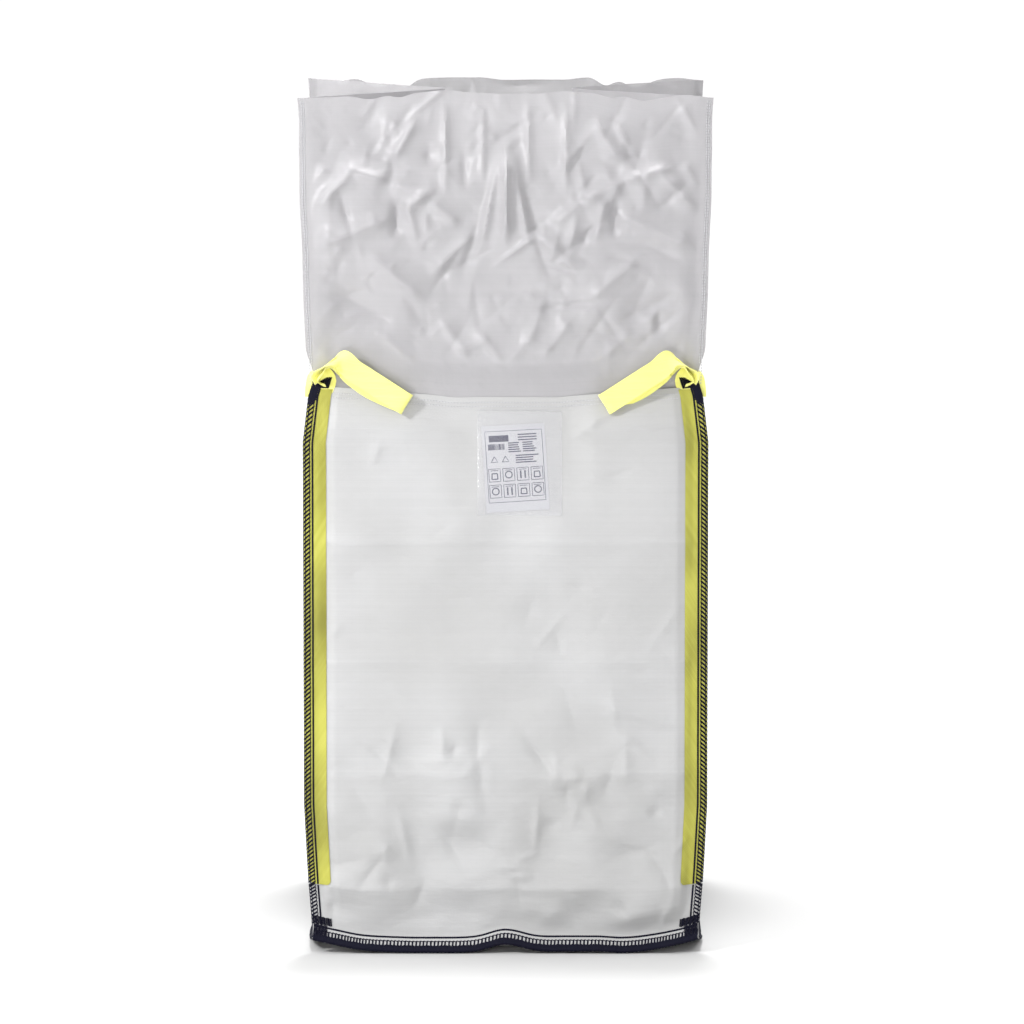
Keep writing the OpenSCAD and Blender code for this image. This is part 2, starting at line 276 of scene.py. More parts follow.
def near_base(z):
    """1 at the base seam, 0 where its lift is gone."""
    return 1 - rises(z, BASE_SEAM_Z, BASE_SEAM_Z + LIFT_FADE)


def hem_shift(across, z):
    """The body's top edge sags between its corners, and the cloth near it follows."""
    sag = 0.010 - 0.024 * (1 - rises(np.abs(across), 0.05, 0.42)) + 0.003 * ripple(across / 0.06, 9)
    return sag * rises(z, BODY_TOP - 0.16, BODY_TOP) * (1 - rises(z, BODY_TOP, BODY_TOP + 0.25))


def storage_folds(z):
    """Ridges that fall off faster above the crease than below it."""
    total = 0
    for at, high, fade in STORAGE_FOLDS:
        above = z - at
        far = np.where(above > 0, above / FADE_ABOVE, -above / FADE_BELOW)
        total = total + high * np.exp(-far / fade)
    return total


def body_relief(x, z, face):
    """How far the front or rear cloth stands outside its flat shape."""
    seed = 11 if face < 0 else 47
    fold_sign = 1.0 if face < 0 else -0.6
    free = 1 - rises(np.abs(x), SEAM_X - 0.026, SEAM_X - 0.004)
    loose = free > 0
    wander = 0.007 * noise(x / 0.13, z / 0.5, seed)
    uneven = 0.95 + 0.40 * noise(x / 0.16, z / 0.20, seed + 7)
    folds = fold_sign * uneven * storage_folds(z - wander)
    total = folds * (0.45 + 0.55 * free)
    if loose.any():
        total[loose] += free[loose] * loose_relief(x[loose], z[loose], face, seed)
    if face < 0:
        stiff = (1 - rises(np.abs(x - POUCH_MIDDLE), 0.11, 0.18)) * rises(z, 1.00, 1.09)
        total = total * (1 - 0.75 * stiff)
    return total


def loose_relief(x, z, face, seed):
    """The relief of the cloth between the corner seams."""
    pillow = 0.0065 * (1 - rises(np.abs(x), 0.398, 0.421))
    broad = 0.011 * noise(x / 0.31, z / 0.42, seed + 1) + 0.006 * noise(x / 0.12, z / 0.14, seed + 2)
    low = 1 - rises(z, 0.20, 0.70)
    hollows = low * 0.014 * noise(x / 0.10 + 3, z / 0.085, seed + 3)
    small = crumple(x, z, seed + 4, 52, (-0.42, 0.42), (0.05, 0.50), (0.0030, 0.0090),
                    (0.05, 0.20), (0.006, 0.017), 75, 45)
    small += crumple(x, z, seed + 5, 30, (-0.42, 0.42), (0.45, 1.28), (0.0014, 0.0045),
                     (0.06, 0.22), (0.006, 0.016), 20, 50)
    if face < 0:
        small += crease(x, z, ((0.22, 0.585), (0.40, 0.540)), 0.0050, 0.012)
        small += crease(x, z, ((0.30, 0.50), (0.12, 0.44)), 0.0030, 0.014)
    sewn = rises(z, BASE_SEAM_Z, BASE_SEAM_Z + 0.06) * (1 - rises(z, BODY_TOP - 0.06, BODY_TOP) * 0.6)
    return sewn * (pillow + broad + hollows + small)


def on_front(x, z, out=0.0, face=-1):
    """Points of the front cloth (face -1) or rear cloth (face 1), `out` outside its outer face."""
    x, z = matched(x, z)
    lean = np.interp(z, EDGE_LEVELS, EDGE_SHIFTS) * rises(np.abs(x), *LEAN_ZONE)
    y = face * (half_depth(z) + body_relief(x, z, face) + out)
    lift = base_lift(x, face) * near_base(z)
    return np.stack([x - np.sign(x) * lean, y, z + lift + hem_shift(x, z)], -1)


def on_base_flange(across, down, out, face):
    """Points of the base flange along the front (-1) or rear (1), `down` below its seam."""
    across, down = matched(across, down)
    lean = EDGE_SHIFTS[0] * rises(np.abs(across), *LEAN_ZONE)
    wave = FLANGE_WAVE * ripple(across / 0.055, 71 + face) * down / BASE_FLANGE
    y = face * (SIDE_HALF + FLANGE_OUT * down + FLANGE_DOWN * (out + wave))
    z = BASE_SEAM_Z + base_lift(across, face) - FLANGE_DOWN * down + FLANGE_OUT * (out + wave)
    return np.stack([across - np.sign(across) * lean, y, z], -1)


def on_side_flange(across, down, out, side):
    """The same along the left (-1) or right (1) side. across runs from the front to the rear."""
    across, down = matched(across, down)
    wave = FLANGE_WAVE * ripple(across / 0.055, 77 + side)
    reach = SEAM_X - SIDE_LEAN * rises(np.abs(across), *LEAN_ZONE)
    x = side * (reach + FLANGE_OUT * down + FLANGE_DOWN * (out + wave * down / BASE_FLANGE))
    return np.stack([x, across, on_base_flange(across, down, out, 0)[..., 2]], -1)


# ---- the skirt's cloth ----

# The clearest creases of the front skirt, as ((x, z), (x, z)), height and width. Each is repeated on
# the other half. Their heights and widths are multiplied by the two numbers below them.
SKIRT_CREASES = [
    (((0.40, 1.855), (0.26, 1.812)), 0.013, 0.030),
    (((0.28, 1.817), (0.17, 1.760)), 0.013, 0.030),
    (((0.19, 1.772), (0.10, 1.700)), 0.009, 0.025),
    (((0.355, 1.842), (0.465, 1.720)), 0.010, 0.020),
    (((0.415, 1.862), (0.455, 1.790)), 0.006, 0.014),
    (((0.205, 1.975), (0.272, 1.855)), 0.010, 0.018),
    (((0.250, 1.975), (0.290, 1.900)), 0.006, 0.012),
    (((0.272, 1.870), (0.330, 1.880)), -0.005, 0.020),
    (((0.450, 1.650), (0.240, 1.742)), 0.009, 0.030),
    (((0.470, 1.620), (0.400, 1.700)), 0.006, 0.016),
    (((0.250, 1.740), (0.150, 1.800)), 0.006, 0.018),
    (((0.251, 1.775), (0.256, 1.670)), -0.007, 0.014),
    (((0.235, 1.775), (0.205, 1.660)), 0.006, 0.014),
    (((0.141, 2.020), (0.141, 1.760)), 0.006, 0.012),
    (((0.052, 2.020), (0.055, 1.790)), 0.005, 0.010),
    (((0.012, 1.900), (0.060, 1.640)), 0.009, 0.016),
    (((0.020, 1.860), (0.110, 1.560)), -0.006, 0.018),
    (((0.000, 1.930), (0.004, 1.640)), 0.008, 0.012),
    (((0.060, 1.700), (0.180, 1.590)), 0.008, 0.022),
    (((0.330, 1.650), (0.180, 1.520)), 0.008, 0.030),
    (((0.420, 1.560), (0.250, 1.470)), -0.006, 0.028),
    (((0.160, 1.500), (0.080, 1.400)), 0.006, 0.016),
    (((0.080, 1.480), (0.000, 1.390)), 0.006, 0.014),
    (((0.120, 1.420), (0.030, 1.450)), 0.005, 0.012),
    (((0.300, 1.460), (0.200, 1.380)), 0.005, 0.016),
]
CREASE_DEPTH = 1.9
CREASE_WIDTH = 0.75


def skirt_seam(z):
    """Where the skirt's corner seam is at a height."""
    up = np.clip((z - BODY_TOP) / (SKIRT_TOP - BODY_TOP), 0, 1)
    return SKIRT_EDGE_X - SKIRT_FLANGE - SKIRT_FLARE * (1 - up)


def opened(z):
    """0 at the skirt's seam, 1 where its cloth is free."""
    return rises(z, BODY_TOP - 0.01, BODY_TOP + 0.20)


def skirt_relief(x, z, face):
    """How far a skirt sheet stands outside its flat shape."""
    seed = 23 if face < 0 else 61
    open_part = opened(z)
    free = 1 - rises(np.abs(x), skirt_seam(z) - 0.05, skirt_seam(z))
    total = (1 - open_part) * 0.001 * noise(x / 0.05, z / 0.06, seed)
    loose = free > 0
    if loose.any():
        total[loose] += (free * open_part)[loose] * skirt_shapes(x[loose], z[loose], face, seed)
    return total


def skirt_shapes(x, z, face, seed):
    """The crumpled shape of a skirt sheet."""
    broad = 0.012 * noise(x / 0.24, z / 0.22, seed) + 0.008 * noise(x / 0.11, z / 0.10, seed + 1)
    depth = CREASE_DEPTH * (1.0 if face < 0 else -0.7)
    shapes = np.zeros(x.shape)
    for line, high, width in SKIRT_CREASES:
        for mirrored in (1, -1):
            ends = tuple((mirrored * p[0], p[1]) for p in line)
            shapes += crease(x, z, ends, depth * high, CREASE_WIDTH * width)
    shapes += crumple(x, z, seed + 2, 80, (-0.45, 0.45), (1.36, 2.02), (0.0035, 0.0100),
                      (0.06, 0.28), (0.005, 0.014), 72, 42)
    shapes += crumple(x, z, seed + 3, 220, (-0.46, 0.46), (1.34, 2.02), (0.0012, 0.0036),
                      (0.02, 0.09), (0.004, 0.009), 60, 60)
    return broad + shapes


def skirt_rise(x, z, face):
    """The skirt's uneven upper edge. The front edge hangs a little lower than the rear one."""
    up = rises(z, 1.75, SKIRT_TOP)
    dips = 0.020 * np.exp(-(((np.abs(x) - 0.32) / 0.035) ** 2))
    dips += 0.018 * np.exp(-(((np.abs(x) - 0.245) / 0.025) ** 2))
    if face < 0:
        dips = 0.5 * dips + 0.006 + 0.012 * rises(np.abs(x), 0.20, 0.40)
    return -up * (dips + 0.005 * (1 + ripple(x / 0.07, 83 + face)))


def on_skirt(x, z, out=0.0, face=-1):
    """Points of the skirt's front (-1) or rear (1) sheet, `out` outside its outer face."""
    x, z = matched(x, z)
    y = face * (half_depth(z) - PANEL_T + skirt_relief(x, z, face) + out)
    sway = 0.004 * ripple(z / 0.11, 91 + face) * rises(z, BODY_TOP, BODY_TOP + 0.15)
    px = x + np.sign(x) * sway * rises(np.abs(x), 0.35, 0.47)
    return np.stack([px, y, z + hem_shift(x, z) + skirt_rise(x, z, face)], -1)


# ---- folded side sheets ----

FOLD_ROUNDNESS = 0.07
SEAM_ROUNDING = 0.003
NORMAL_STEP = 0.002


def fold_shape(t):
    """0 at the corner seam, 1 at the centre fold, with a rounded fold."""
    q = 1 - t
    top = math.sqrt(1 + FOLD_ROUNDNESS ** 2) - FOLD_ROUNDNESS
    return 1 - (np.sqrt(q * q + FOLD_ROUNDNESS ** 2) - FOLD_ROUNDNESS) / top


def side_sheet(s, z, side, sheet_at, seam_at, depth_at, relief_at):
    """Points of a folded side sheet. s runs round the section from the front flange (negative) over
    the centre fold (0) to the rear flange (positive). The sheet joins the front and rear sheets at the
    corner seams, and folds inward as far as the depth of the bag leaves it."""
    q = np.abs(s)
    t = np.clip(1 - q / SIDE_HALF, 0, 1)
    reach = seam_at(z) + np.clip(q - SIDE_HALF, 0, None)
    front, rear = (sheet_at(side * reach, z, face) for face in (-1, 1))
    at_corner = np.where((s < 0)[..., None], front, rear)
    middle = (front + rear) / 2
    mixed = at_corner + (middle - at_corner) * t[..., None]
    fold = np.sqrt(np.clip(SIDE_HALF ** 2 - depth_at(z) ** 2, 0, None))
    free = rises(t, 0.02, 0.16)
    loose = free > 0
    relief = np.zeros(s.shape)
    if loose.any():
        relief[loose] = free[loose] * relief_at(s[loose], z[loose])
    x = mixed[..., 0] + side * (relief - fold * fold_shape(t))
    y = np.where(q > SIDE_HALF, at_corner[..., 1], at_corner[..., 1] * (1 - t))
    return np.stack([x, y, mixed[..., 2]], -1)


def softened(surface):
    """The surface with its sharp corner at the seam rounded off."""
    def rounded(s, z):
        s, z = matched(s, z)
        return (surface(s - SEAM_ROUNDING, z) + 2 * surface(s, z) + surface(s + SEAM_ROUNDING, z)) / 4
    return rounded


def body_side_relief(s, z, side):
    """How far a body side stands outside its folded shape."""
    seed = 131 + side
    folds = -0.8 * storage_folds(z + 0.004 * noise(s / 0.10, z / 0.5, seed + 5))
    broad = 0.010 * noise(s / 0.22, z / 0.35, seed) + 0.004 * noise(s / 0.09, z / 0.12, seed + 1)
    small = crumple(s, z, seed + 2, 56, (-0.42, 0.42), (0.06, 1.28), (0.002, 0.0060),
                    (0.05, 0.22), (0.008, 0.022), 60, 50)
    sewn = rises(z, BASE_SEAM_Z, BASE_SEAM_Z + 0.08)
    pull = 0.006 * np.sin(np.clip(np.abs(s) / SIDE_HALF, 0, 1) * math.pi) * sewn
    return folds + sewn * (broad + small) + pull


def skirt_side_relief(s, z, side):
    """How far a skirt gusset stands outside its folded shape."""
    seed = 151 + side
    broad = 0.014 * noise(s / 0.20, z / 0.24, seed) + 0.007 * noise(s / 0.09, z / 0.10, seed + 1)
    small = crumple(s, z, seed + 2, 80, (-0.43, 0.43), (1.35, 2.02), (0.004, 0.012),
                    (0.05, 0.24), (0.007, 0.022), 75, 45)
    fine = crumple(s, z, seed + 3, 80, (-0.44, 0.44), (1.34, 2.02), (0.0015, 0.0045),
                   (0.02, 0.09), (0.003, 0.009), 60, 60)
    return opened(z) * (broad + small + fine)


def body_side(side):
    """The middle surface of a body side panel, as a function of s and z."""
    def surface(s, z):
        points = side_sheet(
            s, z, side,
            lambda x, z, face: on_front(x, z, -1.5 * PANEL_T, face),
            lambda z: np.full(np.shape(z), SEAM_X),
            lambda z: half_depth(z) - PANEL_T,
            lambda s, z: body_side_relief(s, z, side),
        )
        # away from the corners the lower edge follows the side's own base seam
        inward = rises(1 - np.abs(s) / SIDE_HALF, 0.0, 0.12)
        corner = np.where(s < 0, base_lift(SEAM_X + s * 0, -1), base_lift(SEAM_X + s * 0, 1))
        points[..., 2] += near_base(z) * inward * (base_lift(points[..., 1], 0) - corner - 0.002)
        return points
    return softened(surface)


def skirt_side(side):
    """The middle surface of a skirt gusset."""
    def surface(s, z):
        return side_sheet(
            s, z, side,
            lambda x, z, face: on_skirt(x, z, -1.5 * SKIRT_T, face),
            skirt_seam,
            lambda z: half_depth(z) - PANEL_T - SKIRT_T,
            lambda s, z: skirt_side_relief(s, z, side),
        )
    return softened(surface)


def offset(surface, s, z, out, side):
    """Points `out` outside a side surface, along its normal."""
    s, z = matched(s, z)
    ds = surface(s + NORMAL_STEP, z) - surface(s - NORMAL_STEP, z)
    dz = surface(s, z + NORMAL_STEP) - surface(s, z - NORMAL_STEP)
    return surface(s, z) + unit(side * np.cross(ds, dz)) * np.asarray(out)[..., None]


def offset_grid(surface, s, z, outs, side):
    """Grids of points at several distances outside a side surface, along its normals."""
    points = surface(s, z)
    normal = side * np.cross(np.gradient(points, axis=1), np.gradient(points, axis=0))
    flip = np.sign(s[0, -1] - s[0, 0]) * np.sign(z[-1, 0] - z[0, 0])
    normal *= flip / (np.linalg.norm(normal, axis=-1, keepdims=True) + 1e-12)
    return [points + normal * np.asarray(out)[..., None] for out in outs]


# ---- meshes ----

def shell(outer, inner, uv):
    """A closed sheet between two grids of points: vertices, faces and one uv per vertex."""
    rows, cols = outer.shape[:2]
    n = rows * cols
    index = np.arange(n).reshape(rows, cols)
    a, b, c, d = index[:-1, :-1], index[:-1, 1:], index[1:, 1:], index[1:, :-1]
    quads = np.stack([a, b, c, d], -1).reshape(-1, 4)
    # the faces are turned round where the grid's own order would make them look inward
    r, k = min(rows // 2, rows - 2), min(cols // 2, cols - 2)
    normal = np.cross(outer[r, k + 1] - outer[r, k], outer[r + 1, k] - outer[r, k])
    turn = -1 if normal @ (outer[r, k] - inner[r, k]) < 0 else 1
    quads = quads[:, ::turn]
    ring = np.concatenate([index[0, :], index[1:, -1], index[-1, -2::-1], index[-2:0:-1, 0]])
    following = np.roll(ring, -1)
    rim = np.stack([following, ring, ring + n, following + n], -1)[:, ::turn]
    faces = np.concatenate([quads, quads[:, ::-1] + n, rim])
    points = np.concatenate([outer.reshape(-1, 3), inner.reshape(-1, 3)])
    flat = uv.reshape(-1, 2)
    return points, [faces], np.concatenate([flat, flat])


THREAD_GIRTH = 0.004             # uv width round a thread
SHARP_ANGLE = math.radians(50.0)


def tubes(paths, wide, high, guide, sides=6):
    """Threads that follow many paths of the same length. wide and high are the half sizes of the
    thread across and away from the cloth, and guide is a direction square to the cloth's edge."""
    paths = np.asarray(paths, float)
    count, length = paths.shape[:2]
    tangent = unit(np.gradient(paths, axis=1))
    away = unit(np.cross(tangent, np.broadcast_to(np.asarray(guide, float), tangent.shape)))
    across = np.cross(away, tangent)
    angle = np.arange(sides) * 2 * math.pi / sides
    ring = (wide * np.cos(angle)[:, None] * across[:, :, None, :]
            + high * np.sin(angle)[:, None] * away[:, :, None, :])
    points = (paths[:, :, None, :] + ring).reshape(-1, 3)
    index = np.arange(count * length * sides).reshape(count, length, sides)
    nxt = np.roll(index, -1, axis=2)
    quads = np.stack([index[:, :-1], nxt[:, :-1], nxt[:, 1:], index[:, 1:]], -1).reshape(-1, 4)
    caps = np.concatenate([index[:, 0, ::-1], index[:, -1, :]])
    run = np.cumsum(np.linalg.norm(np.diff(paths, axis=1, prepend=paths[:, :1]), axis=-1), axis=1)
    u = np.broadcast_to(angle / (2 * math.pi) * THREAD_GIRTH, (count, length, sides))
    v = np.broadcast_to(run[:, :, None], (count, length, sides))
    return points, [quads, caps], np.stack([u, v], -1).reshape(-1, 2)


def make_piece(name, parts, material, body, nodes):
    """One object from several vertex, face and uv lists, in place of some nodes. It rides on a body, or on
    no body where the body is None."""
    starts = np.cumsum([0] + [len(p[0]) for p in parts])
    points = np.concatenate([p[0] for p in parts])
    groups = [faces + start for start, p in zip(starts, parts) for faces in p[1]]
    corners = np.concatenate([np.full(len(g), g.shape[1]) for g in groups])
    loops = np.concatenate([g.ravel() for g in groups])
    mesh = bpy.data.meshes.new(name)
    mesh.vertices.add(len(points))
    mesh.vertices.foreach_set("co", points.astype(np.float32).ravel())
    mesh.loops.add(len(loops))
    mesh.loops.foreach_set("vertex_index", loops.astype(np.int32))
    mesh.polygons.add(len(corners))
    mesh.polygons.foreach_set("loop_start", (np.cumsum(corners) - corners).astype(np.int32))
    mesh.update(calc_edges=True)
    mesh.validate()
    uv = np.concatenate([p[2] for p in parts])
    mesh.uv_layers.new(name="cloth").data.foreach_set("uv", uv[loops].astype(np.float32).ravel())
    mesh.polygons.foreach_set("use_smooth", np.ones(len(mesh.polygons), bool))
    mesh.set_sharp_from_angle(angle=SHARP_ANGLE)
    mesh.materials.append(material)
    piece = bpy.data.objects.new(name, mesh)
    bpy.context.scene.collection.objects.link(piece)
    if body:
        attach(piece, body)
    if nodes:
        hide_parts(*nodes)
    return piece


def make_thread(name, node, parts, slot):
    """Stitches on the bag."""
    make_piece(f"{name}_thread", parts, THREADS[slot], "bag", [node])


def grid(u, v):
    """Two equal grids, rows along v and columns along u."""
    return np.meshgrid(np.asarray(u, float), np.asarray(v, float))


def steps(low, high, size):
    """Even steps of about a size, both ends included."""
    return np.linspace(low, high, max(2, int(round(abs(high - low) / size)) + 1))


# ---- materials ----

TAPE = 0.0024                    # width of a woven tape
TWILL_PITCH, TWILL_RISE = 0.0036, 0.0062
PICK = 0.0016                    # one weft thread of the webbing, or one turn of a twisted thread
FLOOR_SHADE_FADE = 9.0                 # distance over which the floor turns pale


class Nodes:
    """A short way to wire a material."""

    def __init__(self, name, color, roughness, specular=0.4, sheen=0.0, alpha=1.0, coat=0.0):
        self.material = bpy.data.materials.new(name)
        self.material.use_nodes = True
        self.tree = self.material.node_tree
        self.shader = self.tree.nodes["Principled BSDF"]
        for socket, value in (
            ("Base Color", (*color, 1.0)), ("Roughness", roughness), ("Specular IOR Level", specular),
            ("Sheen Weight", sheen), ("Sheen Roughness", 0.4), ("Alpha", alpha), ("Coat Weight", coat),
        ):
            self.shader.inputs[socket].default_value = value

    def add(self, kind, inputs=(), **settings):
        """A node with settings. An input is a number or another node's output."""
        node = self.tree.nodes.new(kind)
        for key, value in settings.items():
            setattr(node, key, value)
        for socket, value in dict(inputs).items():
            if isinstance(value, bpy.types.NodeSocket):
                self.tree.links.new(value, node.inputs[socket])
            else:
                node.inputs[socket].default_value = value
        return node

    def math(self, operation, a, b=0.0):
        return self.add("ShaderNodeMath", {0: a, 1: b}, operation=operation).outputs[0]

    def times(self, a, b):
        return self.math("MULTIPLY", a, b)

    def plus(self, a, b):
        return self.math("ADD", a, b)

    def ribs(self, value, frequency):
        """Rounded ribs, as the size of a sine."""
        return self.math("ABSOLUTE", self.math("SINE", self.times(value, frequency)))

    def random(self, value):
        return self.add("ShaderNodeTexWhiteNoise", {"W": value}, noise_dimensions="1D").outputs[0]

    def either(self, factor, a, b):
        return self.add("ShaderNodeMix", {"Factor": factor, "A": a, "B": b}).outputs[0]

    def uv(self):
        node = self.add("ShaderNodeUVMap", uv_map="cloth")
        split = self.add("ShaderNodeSeparateXYZ", {0: node.outputs[0]})
        return split.outputs[0], split.outputs[1]

    def place(self):
        return self.add("ShaderNodeTexCoord").outputs["Object"]

    def spread(self, scale, detail, stretch=(1, 1, 1)):
        """Noise from 0 to 1 in object coordinates."""
        mapped = self.add("ShaderNodeMapping", {"Vector": self.place(), "Scale": stretch}).outputs[0]
        inputs = {"Vector": mapped, "Scale": scale, "Detail": detail}
        return self.add("ShaderNodeTexNoise", inputs).outputs[0]

    def colour_between(self, factor, low, high):
        """A colour from low to high. low is a colour or another node's output."""
        mix = self.add("ShaderNodeMix", data_type="RGBA")
        if isinstance(low, bpy.types.NodeSocket):
            self.tree.links.new(low, mix.inputs["A"])
        else:
            mix.inputs["A"].default_value = (*low, 1.0)
        mix.inputs["B"].default_value = (*high, 1.0)
        self.tree.links.new(factor, mix.inputs["Factor"])
        return mix.outputs["Result"]

    def scaled_between(self, value, low, high):
        return self.add("ShaderNodeMapRange", {0: value, 3: low, 4: high}).outputs[0]

    def finish(self, color, roughness=None, height=None, strength=0.4, distance=0.001):
        """The material, with a colour, and a roughness and a bump where they are given."""
        self.tree.links.new(color, self.shader.inputs["Base Color"])
        if roughness is not None:
            self.tree.links.new(roughness, self.shader.inputs["Roughness"])
        if height is not None:
            bump = self.add("ShaderNodeBump", {"Height": height, "Strength": strength,
                                               "Distance": distance})
            self.tree.links.new(bump.outputs[0], self.shader.inputs["Normal"])
        return self.material


def weave_of(nodes):
    """A plain weave of flat tapes: its height, and a random value for each tape, both from uv."""
    crowns = []
    cells = []
    for value in (nodes.math("DIVIDE", direction, TAPE) for direction in nodes.uv()):
        centred = nodes.math("SUBTRACT", nodes.times(nodes.math("FRACT", value), 2.0), 1.0)
        edge = nodes.math("POWER", nodes.math("ABSOLUTE", centred), 3.0)
        crowns.append(nodes.math("SUBTRACT", 1.0, edge))
        cells.append(nodes.math("FLOOR", value))
    parity = nodes.math("FLOORED_MODULO", nodes.plus(*cells), 2.0)
    upright, level = (nodes.random(cell) for cell in cells)
    tape = nodes.either(parity, upright, level)
    return nodes.either(parity, *crowns), nodes.times(nodes.plus(tape, level), 0.5)


def cloth_material(name, light, dark, soiled):
    """Woven cloth with pale tapes, streaks along them, soiled patches and fine wrinkles."""
    nodes = Nodes(name, light, 0.5, specular=0.35, sheen=0.08)
    height, tape = weave_of(nodes)
    streaks = nodes.spread(6.0, 4.0, (0.6, 0.6, 14.0))
    blotches = nodes.spread(2.6, 5.0)
    shade = nodes.plus(nodes.times(tape, 0.5), nodes.times(streaks, 0.5))
    color = nodes.colour_between(nodes.scaled_between(shade, 0.0, 1.0), dark, light)
    stain = nodes.times(nodes.scaled_between(blotches, -1.2, 2.0), 0.6)
    color = nodes.colour_between(nodes.math("MAXIMUM", stain, 0.0), color, soiled)
    fine = nodes.plus(nodes.times(height, 0.02), nodes.spread(9.0, 6.0, (1.0, 1.0, 2.2)))
    return nodes.finish(color, nodes.scaled_between(blotches, 0.38, 0.62), fine, 0.5, 0.010)


def skirt_material():
    """The skirt's thin cloth, partly see-through."""
    nodes = Nodes("skirt_cloth", (0.46, 0.45, 0.48), 0.34, specular=0.5, sheen=0.1, alpha=0.55)
    height, tape = weave_of(nodes)
    blotches = nodes.spread(3.0, 6.0)
    shade = nodes.plus(nodes.times(tape, 0.15), nodes.times(blotches, 0.85))
    color = nodes.colour_between(shade, (0.40, 0.393, 0.405), (0.50, 0.49, 0.505))
    fine = nodes.plus(nodes.times(height, 0.02), nodes.spread(13.0, 6.0))
    return nodes.finish(color, nodes.scaled_between(blotches, 0.22, 0.42), fine, 0.6, 0.010)


def webbing_material(name, light, dark, worn_and_shaded):
    """Twill webbing with darker stretches: partly wear, partly painted shade."""
    nodes = Nodes(name, light, 0.6, specular=0.3, sheen=0.35)
    u, v = nodes.uv()
    slant = nodes.plus(nodes.math("DIVIDE", u, TWILL_PITCH), nodes.math("DIVIDE", v, TWILL_RISE))
    twill = nodes.ribs(slant, math.pi)
    height = nodes.plus(twill, nodes.times(nodes.ribs(v, math.pi / PICK), 0.35))
    rows = nodes.random(nodes.math("FLOOR", slant))
    shade = nodes.plus(nodes.times(twill, 0.6), nodes.times(rows, 0.4))
    color = nodes.colour_between(shade, dark, light)
    # darker stretches at random: wear, and painted shade standing in for the shading of folds
    stretches = nodes.scaled_between(nodes.spread(4.5, 4.0), -1.4, 2.3)
    wear_and_shade = nodes.times(nodes.math("MAXIMUM", stretches, 0.0), 0.7)
    color = nodes.colour_between(wear_and_shade, color, worn_and_shaded)
    blotches = nodes.spread(9.0, 4.0)
    return nodes.finish(color, nodes.scaled_between(blotches, 0.5, 0.75), height, 0.6, 0.0008)


def thread_material(name, light, dark, specular):
    """Twisted thread."""
    nodes = Nodes(name, light, 0.55, specular=specular)
    ply = nodes.ribs(nodes.plus(*nodes.uv()), math.pi / PICK)
    fuzz = nodes.spread(420.0, 2.0)
    color = nodes.colour_between(nodes.times(nodes.plus(ply, fuzz), 0.5), dark, light)
    return nodes.finish(color, nodes.scaled_between(fuzz, 0.4, 0.65), ply, 0.5, 0.0004)


def plain_material(name, base, shades, colour_noise, rough, rough_noise, bump_noise, bump, **shader):
    """A material whose colour, roughness and bump each follow a noise, given as scale and detail."""
    nodes = Nodes(name, *base, **shader)
    color = nodes.colour_between(nodes.spread(*colour_noise), *shades)
    roughness = nodes.scaled_between(nodes.spread(*rough_noise), *rough)
    return nodes.finish(color, roughness, nodes.spread(*bump_noise), *bump)


def floor_material():
    """A floor painted darker near the bag, as painted shade round it, turning pale away from it."""
    nodes = Nodes("studio_floor", (0.9, 0.9, 0.9), 0.85, specular=0.1)
    far = nodes.add("ShaderNodeVectorMath", {0: nodes.place()}, operation="LENGTH").outputs["Value"]
    share = nodes.scaled_between(nodes.math("DIVIDE", far, FLOOR_SHADE_FADE), 0.0, 1.0)
    return nodes.finish(nodes.colour_between(share, (0.50, 0.50, 0.50), (0.92, 0.92, 0.92)))


WOVEN = cloth_material("woven_cloth", (0.425, 0.425, 0.428), (0.385, 0.385, 0.389), (0.34, 0.338, 0.334))
SKIRT = skirt_material()
LEMON = webbing_material("webbing", (0.92, 0.905, 0.29), (0.80, 0.78, 0.20), (0.82, 0.79, 0.21))
# The belts' webbing is a much darker copy of the loops' webbing: partly dirt, partly painted shade.
BELT_DIRT_AND_SHADE = webbing_material("webbing_belt_dirt_and_painted_shade", (0.47, 0.46, 0.09), (0.33, 0.32, 0.035), (0.22, 0.21, 0.035))
THREADS = {
    "navy_thread": thread_material("navy_thread", (0.006, 0.006, 0.018), (0.002, 0.002, 0.007), 0.10),
    "white_thread": thread_material("white_thread", (0.50, 0.50, 0.52), (0.38, 0.38, 0.41), 0.30),
}
FILM = plain_material(
    "pouch_film", ((0.58, 0.58, 0.62), 0.16), ((0.66, 0.66, 0.69), (0.76, 0.76, 0.78)), (60.0, 4.0),
    (0.12, 0.26), (60.0, 4.0), (26.0, 3.0), (0.25, 0.003), specular=0.6, alpha=0.08, coat=0.2)
PAPER = plain_material(
    "printed_paper", ((0.70, 0.70, 0.73), 0.7), ((0.37, 0.37, 0.40), (0.42, 0.42, 0.435)), (14.0, 2.0),
    (0.6, 0.8), (260.0, 4.0), (260.0, 4.0), (0.2, 0.0002), specular=0.2)
INK = plain_material(
    "label_ink", ((0.02, 0.02, 0.06), 0.6), ((0.008, 0.008, 0.03), (0.025, 0.025, 0.07)), (500.0, 2.0),
    (0.4, 0.6), (500.0, 2.0), (500.0, 2.0), (0.1, 0.0001), specular=0.1)

floor_mesh = bpy.data.meshes.new("floor")
floor_corners = [(-1, -1), (1, -1), (1, 1), (-1, 1)]
floor_mesh.from_pydata([(a * FLOOR_HALF, b * FLOOR_HALF, FLOOR_Z) for a, b in floor_corners], [],
                       [(0, 1, 2, 3)])
floor_mesh.materials.append(floor_material())
floor = bpy.data.objects.new("floor", floor_mesh)
bpy.context.scene.collection.objects.link(floor)


# ---- body panels ----

CLOTH_CELL = 0.0056              # size of a mesh cell of the cloth
SKIRT_CELL = 0.0050
FLANGE_CELL = 0.0046
BASE_CELL = 0.0125               # as a share of half the base
MITRE = 0.010
FLANGE_REACH = 0.440
BASE_REST = 0.0022               # the base cloth's height away from its seam
BASE_RISE = 0.055                # the base rises to its seam within this distance
NEAR_SEAM = np.array([0.003, 0.006, 0.010, 0.016])
SEAM_ZONE = 0.022


